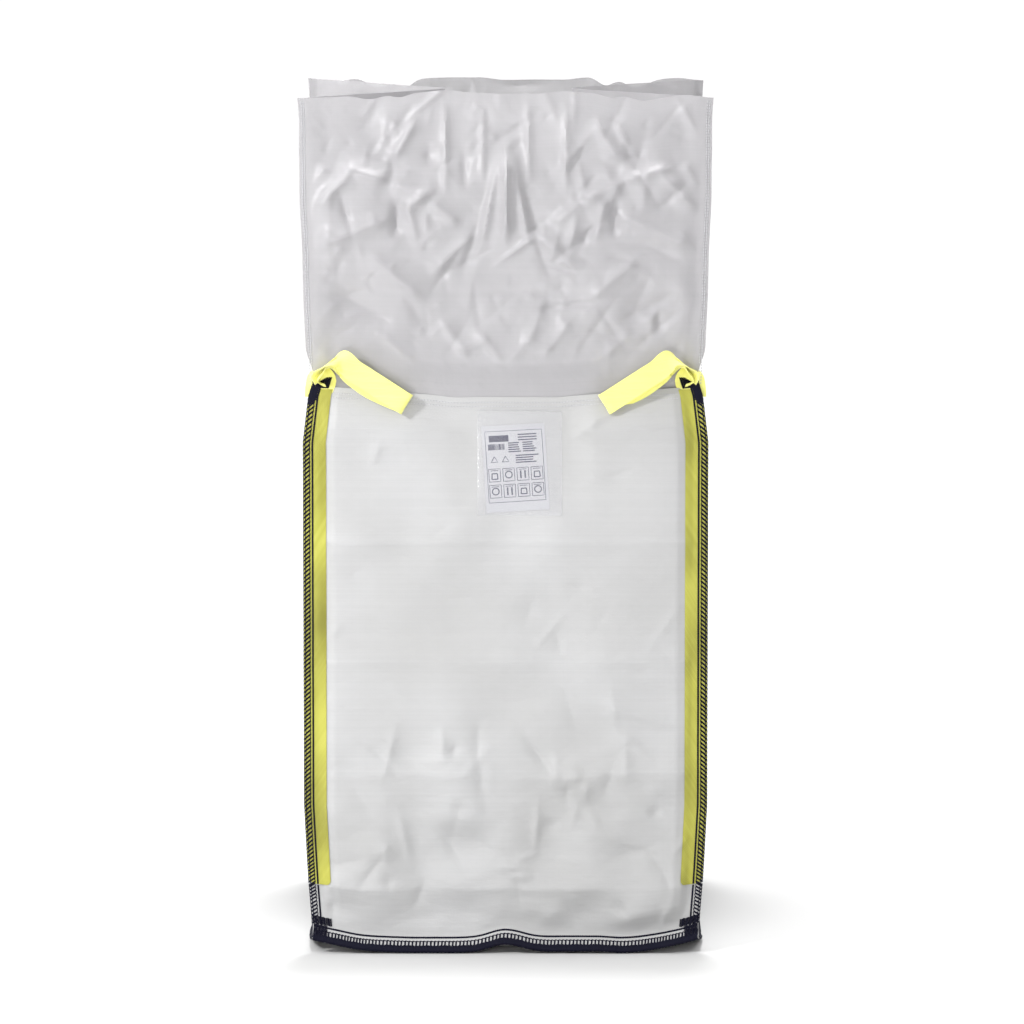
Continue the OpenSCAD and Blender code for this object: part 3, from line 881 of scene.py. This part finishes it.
def folded_columns(cell, beyond):
    """Steps round a folded side sheet, close together at its corner seams, and `beyond` them."""
    half = np.concatenate([
        steps(0, SIDE_HALF - SEAM_ZONE, cell)[1:], SIDE_HALF - NEAR_SEAM[::-1], [SIDE_HALF],
        SIDE_HALF + NEAR_SEAM, SIDE_HALF + np.array(beyond)])
    return np.concatenate([-half[::-1], [0.0], half])


def flange_grid():
    """Along a side of the base and down its flange."""
    return grid(steps(-FLANGE_REACH, FLANGE_REACH, CLOTH_CELL), steps(BASE_FLANGE, 0.0, FLANGE_CELL))


def corner_rounding(down):
    """How much narrower the front ply is near its rounded bottom corners."""
    low = np.clip(down - (BASE_FLANGE - MITRE), 0, MITRE)
    return MITRE - np.sqrt(np.clip(MITRE ** 2 - low ** 2, 0, None))


def make_front(face):
    """The front (-1) or rear (1) panel, with its ply of the base flange."""
    columns = steps(-EDGE_X, EDGE_X, CLOTH_CELL)
    x_low, down = grid(columns, steps(BASE_FLANGE, 0.004, FLANGE_CELL))
    x_low = x_low * (1 - corner_rounding(down) / EDGE_X)
    x, z = grid(columns, steps(BASE_SEAM_Z + 0.003, BODY_TOP, CLOTH_CELL))
    outer = np.concatenate([on_base_flange(x_low, down, PANEL_T, face), on_front(x, z, 0.0, face)])
    inner = np.concatenate([on_base_flange(x_low, down, 0.0, face), on_front(x, z, -PANEL_T, face)])
    uv = np.stack([np.concatenate([x_low, x]), np.concatenate([BASE_SEAM_Z - down, z])], -1)
    name = FACE_NAMES[face]
    panel = make_piece(f"{name}_cloth", [shell(outer, inner, uv)], WOVEN, "bag",
                       [f"{name}_panel"])


def make_side(side):
    """The left (-1) or right (1) panel, folded inward, and its ply of the base flange."""
    levels = steps(BASE_SEAM_Z + 0.006, BODY_TOP, CLOTH_CELL * 1.1)
    s, z = grid(folded_columns(CLOTH_CELL, [SEAM_ZONE, CORNER_FLANGE]), levels)
    outer, inner = offset_grid(body_side(side), s, z, (PANEL_T / 2, -PANEL_T / 2), side)
    across, down = flange_grid()
    flange = shell(on_side_flange(across, down, PANEL_T, side), on_side_flange(across, down, 0.0, side),
                   np.stack([across, BASE_SEAM_Z - down], -1))
    name = SIDE_NAMES[side]
    panel = make_piece(f"{name}_cloth", [shell(outer, inner, np.stack([s, z], -1)), flange], WOVEN,
                       "bag", [f"{name}_side_panel"])


def make_base():
    """The base, lying down in the middle, with its ply of the flange on all four sides."""
    x, y = grid(steps(-1, 1, BASE_CELL), steps(-1, 1, BASE_CELL))
    px, py = x * SEAM_X, y * SIDE_HALF
    px = px - np.sign(px) * SIDE_LEAN * rises(np.abs(py), *LEAN_ZONE) * np.abs(x) ** 6
    from_side, from_front = (1 - np.abs(x)) * SEAM_X, (1 - np.abs(y)) * SIDE_HALF
    seam_z = BASE_SEAM_Z + np.where(from_front < from_side, base_lift(px, 0), base_lift(py, 0))
    up = 1 - rises(np.minimum(from_side, from_front), 0.0, BASE_RISE)
    z = BASE_REST + (seam_z - BASE_REST) * up ** 1.3
    z = z + (1 - up) * 0.0012 * (1 + noise(px / 0.12, py / 0.12, 301))
    parts = [shell(np.stack([px, py, z - PANEL_T], -1), np.stack([px, py, z], -1),
                   np.stack([px, py], -1))]
    across, down = flange_grid()
    uv = np.stack([across, -down], -1)
    for place in (on_base_flange, on_side_flange):
        for way in (-1, 1):
            parts.append(shell(place(across, down, 0.0, way), place(across, down, -PANEL_T, way), uv))
    base = make_piece("base_cloth", parts, WOVEN, "bag", ["base_panel"])


# ---- skirt ----

SEAM_CLEAR = 0.0012              # how far the skirt's flange stands past its seam in the hem


def in_hem(z):
    """1 where the skirt is sewn into the body's hem, 0 above it."""
    return 1 - rises(z, BODY_TOP + 0.01, BODY_TOP + 0.10)


def make_skirt_sheet(face):
    """The skirt's front (-1) or rear (1) sheet."""
    a, z = grid(steps(-1, 1, CLOTH_CELL / SKIRT_EDGE_X * 0.92), steps(SKIRT_BOTTOM, SKIRT_TOP, SKIRT_CELL))
    x = a * (skirt_seam(z) + SEAM_CLEAR + (SKIRT_FLANGE - SEAM_CLEAR) * (1 - in_hem(z)))
    cloth = shell(on_skirt(x, z, 0.0, face), on_skirt(x, z, -SKIRT_T, face), np.stack([x, z], -1))
    name = f"skirt_{FACE_NAMES[face]}"
    piece = make_piece(f"{name}_cloth", [cloth], SKIRT, "bag", [name])


def make_gusset(side):
    """The skirt's left (-1) or right (1) gusset, folded inward."""
    s, z = grid(folded_columns(0.0052, [SKIRT_FLANGE]), steps(SKIRT_BOTTOM, SKIRT_TOP, SKIRT_CELL))
    over = np.clip(np.abs(s) - SIDE_HALF, 0, None)
    s = s - np.sign(s) * over * in_hem(z) * 0.94
    outer, inner = offset_grid(skirt_side(side), s, z, (SKIRT_T / 2, -SKIRT_T / 2), side)
    name = SIDE_NAMES[side]
    piece = make_piece(f"skirt_{name}_cloth", [shell(outer, inner, np.stack([s, z], -1))], SKIRT, "bag",
                       [f"skirt_{name}_gusset"])


# ---- webbing ----

LOOP_REACH = 0.184
LOOP_ROOT = BELT_TOP - 0.030     # where the loop's webbing takes over from the sewn belt
LOOP_DROOP = math.radians(33.0)
LOOP_GAP = 0.021                 # between the loop's two runs at its tip
SEWN_GAP = 0.0001                # between two sewn layers


def belt_half_width(z):
    """Half the width of a belt at a height, with its rounded lower end."""
    radius = 0.016
    low = np.clip(radius - (z - BELT_FOOT), 0, radius)
    return BELT_W / 2 - radius + np.sqrt(radius ** 2 - low ** 2)


def belt_grid(columns, top):
    """Across a belt from -1 to 1, and up it from its rounded foot."""
    foot = BELT_FOOT + np.array([0, 0.001, 0.003, 0.006, 0.010])
    return grid(np.linspace(-1, 1, columns), np.concatenate([foot, steps(BELT_FOOT + 0.014, top, 0.005)]))


def make_belt(name, outer, inner, a, z):
    """A belt's webbing between two faces."""
    webbing = shell(outer, inner, np.stack([a * BELT_W / 2, z], -1))
    make_piece(f"{name}_webbing", [webbing], BELT_DIRT_AND_SHADE, "bag", [f"{name}_belt"])


def make_front_belt(side, face):
    """A corner's belt on the front or rear panel. Its edges are thinner than its middle."""
    a, z = belt_grid(11, LOOP_ROOT + 0.001)
    x = side * (EDGE_X - BELT_W / 2 + a * belt_half_width(z))
    crown = BELT_T * (1 - 0.25 * np.abs(a) ** 8)
    outer = on_front(x, z, crown + SEWN_GAP, face)
    make_belt(corner_name(side, face), outer, on_front(x, z, SEWN_GAP, face), a, z)


def make_side_belt(side, face):
    """A corner's belt on the side panel."""
    a, z = belt_grid(19, BELT_TOP)
    s = face * (SIDE_HALF + CORNER_FLANGE - BELT_W / 2 + a * belt_half_width(z))
    outs = (PANEL_T / 2 + BELT_T, PANEL_T / 2 + SEWN_GAP)
    outer, inner = offset_grid(body_side(side), s, z, outs, side)
    make_belt(f"{corner_name(side, face)}_side", outer, inner, a, z)


def through(keys, count):
    """A smooth curve through key rows of numbers (Catmull-Rom), evenly spaced by its first three."""
    keys = np.asarray(keys, float)
    ends = np.concatenate([[2 * keys[0] - keys[1]], keys, [2 * keys[-1] - keys[-2]]])
    t = np.linspace(0, 1, 24, endpoint=False)[:, None]
    rows = []
    for a, b, c, d in zip(ends[:-3], ends[1:-2], ends[2:-1], ends[3:]):
        rows.append(0.5 * (2 * b + (c - a) * t + (2 * a - 5 * b + 4 * c - d) * t ** 2
                           + (3 * b - a - 3 * c + d) * t ** 3))
    rows = np.concatenate(rows + [keys[-1:]])
    run = run_along(rows[:, :3])
    want = np.linspace(0, run[-1], count)
    return np.stack([np.interp(want, run, rows[:, k]) for k in range(rows.shape[1])], -1)


def frame_joint(name):
    return next(j for j in frame["joints"] if j["name"] == name)


def make_loop(side, face):
    """A lifting loop drawn at the front right corner and mirrored. Its webbing rises from the front
    belt, twists over the shoulder, runs to the tip and comes back to the side belt."""
    pivot = frame_joint(f"{corner_name(side, face)}_loop_swing")["pos_m"]
    sx, sz = abs(pivot[0]), pivot[2]
    run = np.array([-math.cos(LOOP_DROOP), 0, -math.sin(LOOP_DROOP)])
    down = np.array([math.sin(LOOP_DROOP), 0, -math.cos(LOOP_DROOP)])
    shoulder = np.array([sx - 0.010, -0.4365, sz + 0.001])
    rear_shoulder = np.array([sx - 0.012, -0.4155, sz - 0.004])
    tip = shoulder + run * (LOOP_REACH - 0.012)
    rear_tip = tip + np.array([0, LOOP_GAP, 0]) + down * 0.002
    belt_x = EDGE_X - BELT_W / 2
    sewn = [(*on_front(belt_x, z, BELT_T / 2, -1), 1.0, turn, 0.0)
            for z, turn in ((LOOP_ROOT, 0.0), (LOOP_ROOT + 0.010, 0.0), (LOOP_ROOT + 0.022, -0.10))]
    # each row is a point of the webbing's middle line and the direction of its width
    keys = sewn + [
        (0.4330, -0.4100, 1.366, 0.62, -0.78, 0.10),
        (0.4210, -0.4200, 1.3815, 0.30, -0.95, -0.05),
        (0.4060, -0.4290, 1.3930, 0.30, -0.90, -0.25),
        (0.3900, -0.4345, 1.3990, 0.42, -0.70, -0.58),
        (0.3750, -0.4368, 1.3935, 0.54, -0.12, -0.83),
        (*(shoulder + run * 0.036), *down),
        (*(shoulder + run * 0.070 + np.array([0, -0.0010, 0])), *down),
        (*(shoulder + run * 0.120), *down),
        (*tip, *down),
        (*(tip + run * 0.009 + np.array([0, 0.0035, 0])), *down),
        (*(tip + run * 0.0125 + np.array([0, 0.0105, 0])), *down),
        (*(rear_tip + run * 0.008 + np.array([0, -0.003, 0])), *down),
        (*rear_tip, *down),
        (*(rear_tip - run * 0.040 + down * 0.007), *down),
        (*(rear_tip - run * 0.085 + down * 0.012), *down),
        (*(rear_tip - run * 0.130 + down * 0.009), *down),
        (*(rear_shoulder + run * 0.010 + down * 0.003), 0.50, 0.10, -0.85),
        (0.4080, -0.4140, 1.3800, 0.45, 0.70, -0.40),
        (0.4290, -0.4090, 1.3680, 0.30, 0.95, 0.00),
        (0.4440, -0.4010, 1.3520, 0.60, 0.80, 0.00),
        (0.4430, -0.3950, 1.3300, 0.95, 0.30, 0.00),
        (0.4430, -0.3935, 1.3080, 1.00, 0.05, 0.00),
    ]
    rows = through(keys, 200)
    centre, wide = rows[:, :3], rows[:, 3:]
    tangent = unit(np.gradient(centre, axis=0), 0.0)
    wide = unit(wide - tangent * np.sum(wide * tangent, axis=1, keepdims=True), 0.0)
    thick = np.cross(tangent, wide)
    a = np.linspace(-1, 1, 9)
    middle = centre[:, None] + wide[:, None] * (a * BELT_W / 2)[None, :, None]
    outer, inner = (middle + thick[:, None] * (half * (1 - 0.3 * np.abs(a) ** 6))[None, :, None]
                    for half in (BELT_T / 2, -BELT_T / 2))
    uv = np.stack(np.broadcast_arrays(a[None, :] * BELT_W / 2, run_along(centre)[:, None]), -1)
    flip = np.array([side, -face, 1.0])
    name = f"{corner_name(side, face)}_loop"
    piece = make_piece(f"{name}_webbing", [shell(outer * flip, inner * flip, uv)], LEMON, None,
                       [name])
    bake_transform(piece)


# ---- stitching ----

CORNER_BOTTOM = BASE_SEAM_Z - 0.004
DENSE_FROM = 1.288               # the overlock is dense above this height
THREAD_T = 0.0010
THREAD_LIFT = 0.0009             # a thread's middle above the cloth
TACK_ROW = 0.0021
TACK_TURNS = 9
HEM_ROWS = (HEM_Z + 0.0015, HEM_Z - 0.008)
SKIRT_ROWS = (0.0075, 0.0125)    # outside the skirt's seam
STITCH, STITCH_GAP = 0.007, 0.0022


def overlock_part(place, low, high, pitch, inner_at, outer_at, top, bottom, guide,
                  slant=0.0060, wide=0.0021):
    """Thread wrapped round an edge. place(across, along, out) gives points of the cloth's edge; the
    thread runs from inner_at to outer_at over the top face, round the edge and back underneath."""
    at = np.arange(low, high, pitch)[:, None]
    reach = outer_at - inner_at
    share = np.array([0, 0.3, 0.65, 0.93, 1.04, 1.04, 0.93, 0.65, 0.3, 0])[None, :]
    height = np.array([1, 1, 1, 1, 0.72, 0.28, 0, 0, 0, 0])[None, :]
    jitter = 0.0006 * noise(at / pitch * 0.73, at * 0, 401)
    across = inner_at + reach * share + 0 * at
    along = at + jitter + slant * (1 - 2 * np.clip(share, 0, 1))
    out = bottom + (top - bottom) * height
    return tubes(place(across, along, out), wide, THREAD_T, guide)


def line_part(place, across, low, high, out, guide, wide, tall, weave, pitch, phase=0.0):
    """A continuous thread along an edge, weaving a little from side to side."""
    along = steps(low, high, 0.0018)[None, :]
    sway = weave * np.sin(along / pitch * 2 * math.pi + phase)
    lift = 0.0003 * np.cos(along / pitch * 4 * math.pi + phase)
    return tubes(place(across + sway, along, out + lift + 0 * along), wide, tall, guide)


def corner_place(side, face):
    return lambda across, along, out: on_front(side * across, along, out, face)


def make_corner_stitching(side, face):
    """Overlock round the corner's edge and chain stitch beside it, over the cloth and the belt."""
    name = corner_name(side, face)
    place = corner_place(side, face)
    wraps = []
    chains = []
    for low, high, cover in ((CORNER_BOTTOM, BELT_FOOT - 0.003, 0.0), (BELT_FOOT + 0.001, BELT_TOP, BELT_T)):
        top = cover + THREAD_LIFT
        bottom = -2 * PANEL_T - cover - THREAD_LIFT
        wraps.append(overlock_part(place, low, high, 0.0100, OVERLOCK_X, EDGE_X, top, bottom, Z_AXIS))
        for across, sway in ((OVERLOCK_X, 0.0008), (EDGE_X - 0.0035, 0.0005)):
            for out in (top, bottom):
                wraps.append(line_part(place, across, low, high, out, X_AXIS, 0.0010, 0.0009, sway, 0.010))
        wraps.append(line_part(place, EDGE_X + 0.0007, low, high, (top + bottom) / 2, X_AXIS,
                               0.0013, 0.0022, 0.0003, 0.010))
        for out in (top, bottom):
            for phase in (0.0, math.pi):
                chains.append(line_part(place, CHAIN_X, low, high, out, X_AXIS,
                                        0.0015, 0.0009, 0.0009, 0.0085, phase))
    wraps.append(overlock_part(place, DENSE_FROM, BELT_TOP - 0.003, 0.0040, OVERLOCK_X - 0.004, EDGE_X,
                               BELT_T + 0.0012, -2 * PANEL_T - BELT_T - 0.0012, Z_AXIS))
    make_thread(f"{name}_overlock", f"{name}_overlock", wraps, "navy_thread")
    make_thread(f"{name}_chain", f"{name}_chain_stitch", chains, "navy_thread")


def bartack_part(place, low, high, inner_at, outer_at, out):
    """A square of close zigzag thread."""
    rows = int((high - low) / TACK_ROW)
    k = np.arange(rows)[:, None]
    j = np.linspace(0, 1, TACK_TURNS * 4)[None, :]
    swing = np.abs(((j * TACK_TURNS) % 2) - 1)
    along = low + (k + 0.5) * (high - low) / rows + (swing - 0.5) * 0.0020
    across = inner_at + (outer_at - inner_at) * j + 0 * k
    lift = out + 0.0005 * (1 - 2 * np.abs(swing - 0.5)) + 0.0002 * (k % 2)
    return tubes(place(across, along, lift), 0.0011, 0.0007, X_AXIS, 5)


def make_bartacks(side, face):
    """The tacks at the top of a corner's belt, and at its foot on the panel and on the base flange."""
    name = corner_name(side, face)
    place = corner_place(side, face)

    def flange(across, along, out):
        return on_base_flange(side * across, -along, out, face)
    top = [bartack_part(place, BODY_TOP - 0.002, BELT_TOP - 0.001, CHAIN_X - 0.020, CHAIN_X + 0.004,
                        BELT_T + 0.0010)]
    low = [bartack_part(place, BASE_SEAM_Z + 0.001, BASE_SEAM_Z + 0.020, CHAIN_X - 0.026, EDGE_X - 0.001,
                        0.0014),
           bartack_part(flange, -0.031, -0.002, EDGE_X - 0.034, EDGE_X - 0.002, PANEL_T + 0.0016)]
    make_thread(f"{name}_top_tack", f"{name}_top_bartack", top, "navy_thread")
    make_thread(f"{name}_base_tack", f"{name}_base_bartack", low, "navy_thread")


def make_base_stitching(name, flange, way, reach, guide, run_guide):
    """Chain stitch and the closely wrapped edge of one side of the base seam."""
    def place(across, along, out):
        return flange(along, across, out, way)

    def edge_wrap(pitch, inner_at, outer_at, top, slant, wide):
        return overlock_part(place, -reach, reach, pitch, inner_at, outer_at, top, -top, guide, slant, wide)

    def line(across, out, *size):
        return line_part(place, across, -reach, reach, out, run_guide, *size)
    top = PANEL_T + THREAD_LIFT
    tip = BASE_FLANGE
    wraps = [
        edge_wrap(0.0086, 0.0165, tip - 0.001, top, 0.0012, 0.0020),
        edge_wrap(0.0036, tip - 0.0125, tip, top + 0.0006, 0.0010, 0.0021),
        line(tip + 0.0006, 0.0, 0.0014, 0.0020, 0.0004, 0.009),
        line(0.0160, top, 0.0012, 0.0009, 0.0009, 0.0086),
        line(tip - 0.0130, top + 0.0005, 0.0015, 0.0010, 0.0010, 0.0072),
    ]
    chains = [line(0.0065, out, 0.0016, 0.0010, 0.0010, 0.0085, phase)
              for out in (top, -top) for phase in (0.0, math.pi)]
    make_thread(f"{name}_base_overlock", f"{name}_base_overlock", wraps, "navy_thread")
    make_thread(f"{name}_base_chain", f"{name}_base_chain_stitch", chains, "navy_thread")


def running_part(place, across, low, high, out, guide):
    """Separate stitches in a row, each dipping into the cloth at its ends."""
    starts = np.arange(low, high - STITCH, STITCH)[:, None]
    share = np.linspace(0, 1, 6)[None, :]
    along = starts + STITCH_GAP / 2 + (STITCH - STITCH_GAP) * share
    lift = out + 0.0007 * np.sin(share * math.pi) + 0 * along
    return tubes(place(across + 0 * along, along, lift), 0.0009, 0.0006, guide, 5)


def make_hem(name, place, reach):
    """Two rows of stitches along one side of the body's hem. place(along, z, out) gives points."""
    def swapped(across, along, out):
        return place(along, across, out)
    parts = [running_part(swapped, z, -reach, reach, 0.0002, Z_AXIS) for z in HEM_ROWS]
    make_thread(f"{name}_hem", f"{name}_hem_stitching", parts, "white_thread")


def make_front_hem(face):
    """The hem of the front (-1) or rear (1)."""
    make_hem(FACE_NAMES[face], lambda x, z, out: on_front(x, z, out, face), EDGE_X - BELT_W - 0.002)


def make_side_hem(side):
    """The hem of the left (-1) or right (1) side."""
    surface = body_side(side)
    make_hem(SIDE_NAMES[side], lambda s, z, out: offset(surface, s, z, PANEL_T / 2 + out, side),
             SIDE_HALF - (BELT_W - CORNER_FLANGE) - 0.003)


def make_skirt_stitching(side, face):
    """Two rows of stitches up a corner seam of the skirt."""
    def place(across, along, out):
        return on_skirt(side * (skirt_seam(along) + across), along, out, face)
    parts = [running_part(place, across, BODY_TOP + 0.006, SKIRT_TOP - 0.006, 0.0002, X_AXIS)
             for across in SKIRT_ROWS]
    name = f"skirt_{corner_name(side, face)}"
    make_thread(name, f"{name}_stitching", parts, "white_thread")


# ---- document pouch ----

pouch_low, pouch_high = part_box("pouch_back_film")
label_low, label_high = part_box("label_sheet")
FILM_T = 0.0003
LABEL_T = 0.0003
FILM_OUT = 0.0005                # the pouch's rear film outside the cloth
LABEL_OUT = FILM_OUT + FILM_T
POUCH_CELL = 0.004
LABEL_TURN = math.radians(3.6)


def pouch_bulge(x, z):
    """How far the pouch's front film stands off its rear film."""
    a = (x - pouch_low.x) / (pouch_high.x - pouch_low.x)
    b = (z - pouch_low.z) / (pouch_high.z - pouch_low.z)
    body = np.clip(a * (1 - a) * 4, 0, 1) ** 0.6 * np.clip(b * 6, 0, 1) * np.clip((1 - b) * 4 + 0.3, 0, 1)
    return 0.0022 * body * (1 + 0.5 * noise(x / 0.05, z / 0.06, 501))


def make_film(name, node, x, z, out):
    """A sheet of the pouch's film."""
    film = shell(on_front(x, z, out + FILM_T), on_front(x, z, out), np.stack([x, z], -1))
    make_piece(name, [film], FILM, "document_pouch", [node])


def make_pouch():
    """The pouch's two films and the row of stitches that holds it."""
    x, z = grid(*(steps(low, high, POUCH_CELL) for low, high in
                  ((pouch_low.x, pouch_high.x), (pouch_low.z, pouch_high.z))))
    make_film("pouch_rear_sheet", "pouch_back_film", x, z, FILM_OUT)
    front = FILM_OUT + FILM_T + LABEL_T * 2 + pouch_bulge(x, z)
    make_film("pouch_front_sheet", "pouch_front_film", x, z, front)

    def place(across, along, out):
        return on_front(along, across, out)
    stitches = running_part(place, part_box("pouch_stitching")[0].z + 0.0015, pouch_low.x + 0.003,
                            pouch_high.x - 0.003, 0.0003, Z_AXIS)
    make_thread("pouch", "pouch_stitching", [stitches], "white_thread")


label_centre = ((label_low.x + label_high.x) / 2 - 0.010, (label_low.z + label_high.z) / 2 - 0.002)


def on_label(a, b, out):
    """A point of the printed sheet, a to the right and b up from its centre."""
    a, b = matched(a, b)
    x = label_centre[0] + a * math.cos(LABEL_TURN) - b * math.sin(LABEL_TURN)
    z = label_centre[1] + a * math.sin(LABEL_TURN) + b * math.cos(LABEL_TURN)
    return on_front(x, z, LABEL_OUT + out)


def stroke(points, half, closed=False):
    """A printed line through points of the label."""
    points = list(points) + ([points[0]] if closed else [])
    points = np.array(points, float)
    run = run_along(points)
    corners = np.unique(np.concatenate([run, np.linspace(0, run[-1], max(3, int(run[-1] / 0.010)))]))
    a, b = (np.interp(corners, run, points[:, k]) for k in (0, 1))
    path = on_label(a, b, LABEL_T + 0.00005)
    guide = np.cross((0.0, -1.0, 0.0), np.gradient(path, axis=0))
    return tubes(path[None], half, 0.00010, guide[None], 4)


def level_line(start, end, b, half=0.0013):
    return stroke([(start, b), (end, b)], half)


def outline(a, b, low_half, high_half, low, high, half):
    """A four-sided outline round (a, b), from b + low to b + high."""
    return stroke([(a - low_half, b + low), (a + low_half, b + low), (a + high_half, b + high),
                   (a - high_half, b + high)], half, True)


def round_points(a, b, radius, count):
    """Points round (a, b)."""
    turns = [k * 2 * math.pi / count for k in range(count)]
    return [(a + radius * math.sin(turn), b + radius * math.cos(turn)) for turn in turns]


def make_label():
    """The printed sheet, and its print: bars, lines and plain shapes, without words."""
    half_w, half_h = (label_high.x - label_low.x) / 2, (label_high.z - label_low.z) / 2
    a, b = grid(steps(-half_w, half_w, POUCH_CELL), steps(-half_h, half_h, POUCH_CELL))
    paper = shell(on_label(a, b, LABEL_T), on_label(a, b, 0.0), np.stack([a, b], -1))
    make_piece("label_paper", [paper], PAPER, "document_pouch", ["label_sheet"])
    top = 0.090
    parts = [outline(0.0, 0.0, 0.0665, 0.0665, -0.082, top, 0.0006)]
    rng = np.random.default_rng(7)
    # header: a plain block and three grey lines
    parts += [level_line(-0.058, -0.012, top - 0.013 - row * 0.0032, 0.0018) for row in range(5)]
    parts += [level_line(0.010, 0.054, top - 0.011 - row * 0.007) for row in range(3)]
    # bars beside five grey lines
    for bar in range(17):
        at = -0.060 + bar * 0.0023
        parts.append(stroke([(at, 0.057), (at, 0.042)], rng.choice([0.0006, 0.0010])))
    for row in range(5):
        for start in (-0.014, 0.020):
            parts.append(level_line(start, start + rng.uniform(0.020, 0.032), 0.058 - row * 0.0055))
    # two outlined triangles beside four grey lines
    parts += [stroke(round_points(at, 0.017, 0.009, 3), 0.0008, True) for at in (-0.048, -0.022)]
    parts += [level_line(0.002, rng.uniform(0.040, 0.056), 0.026 - row * 0.0055) for row in range(4)]
    # two rows of squares, each with a box, a disc or a pair of posts under a line
    for row, b in enumerate((-0.018, -0.056)):
        for column in range(4):
            at = -0.0495 + column * 0.033
            parts.append(outline(at, b, 0.0135, 0.0135, -0.015, 0.015, 0.0007))
            kind = (row + column) % 3
            if kind == 0:
                parts.append(outline(at, b, 0.007, 0.006, -0.009, 0.004, 0.0012))
            elif kind == 1:
                ring = [(at + 0.008 * math.cos(k * math.pi / 6), b + 0.008 * math.sin(k * math.pi / 6))
                        for k in range(12)]
                parts.append(stroke(ring, 0.0012, True))
            else:
                parts += [stroke([(at + shift, b - 0.010), (at + shift, b + 0.008)], 0.0016)
                          for shift in (-0.005, 0.005)]
            parts.append(level_line(at - 0.009, at + 0.009, b + 0.011, 0.0007))
    make_piece("label_print", parts, INK, "document_pouch", [])


# ---- assembly ----

make_base()
for which in (-1, 1):
    make_front(which)
    make_side(which)
    make_skirt_sheet(which)
    make_gusset(which)
for side, face in CORNERS:
    make_front_belt(side, face)
    make_side_belt(side, face)
    make_loop(side, face)
    make_corner_stitching(side, face)
    make_bartacks(side, face)
    make_skirt_stitching(side, face)
for which in (-1, 1):
    make_base_stitching(FACE_NAMES[which], on_base_flange, which, 0.4695, X_AXIS, Z_AXIS)
for which in (-1, 1):
    make_base_stitching(SIDE_NAMES[which], on_side_flange, which, 0.436, Y_AXIS, Z_AXIS)
for make_one_hem in (make_front_hem, make_side_hem):
    for which in (-1, 1):
        make_one_hem(which)
make_pouch()
make_label()
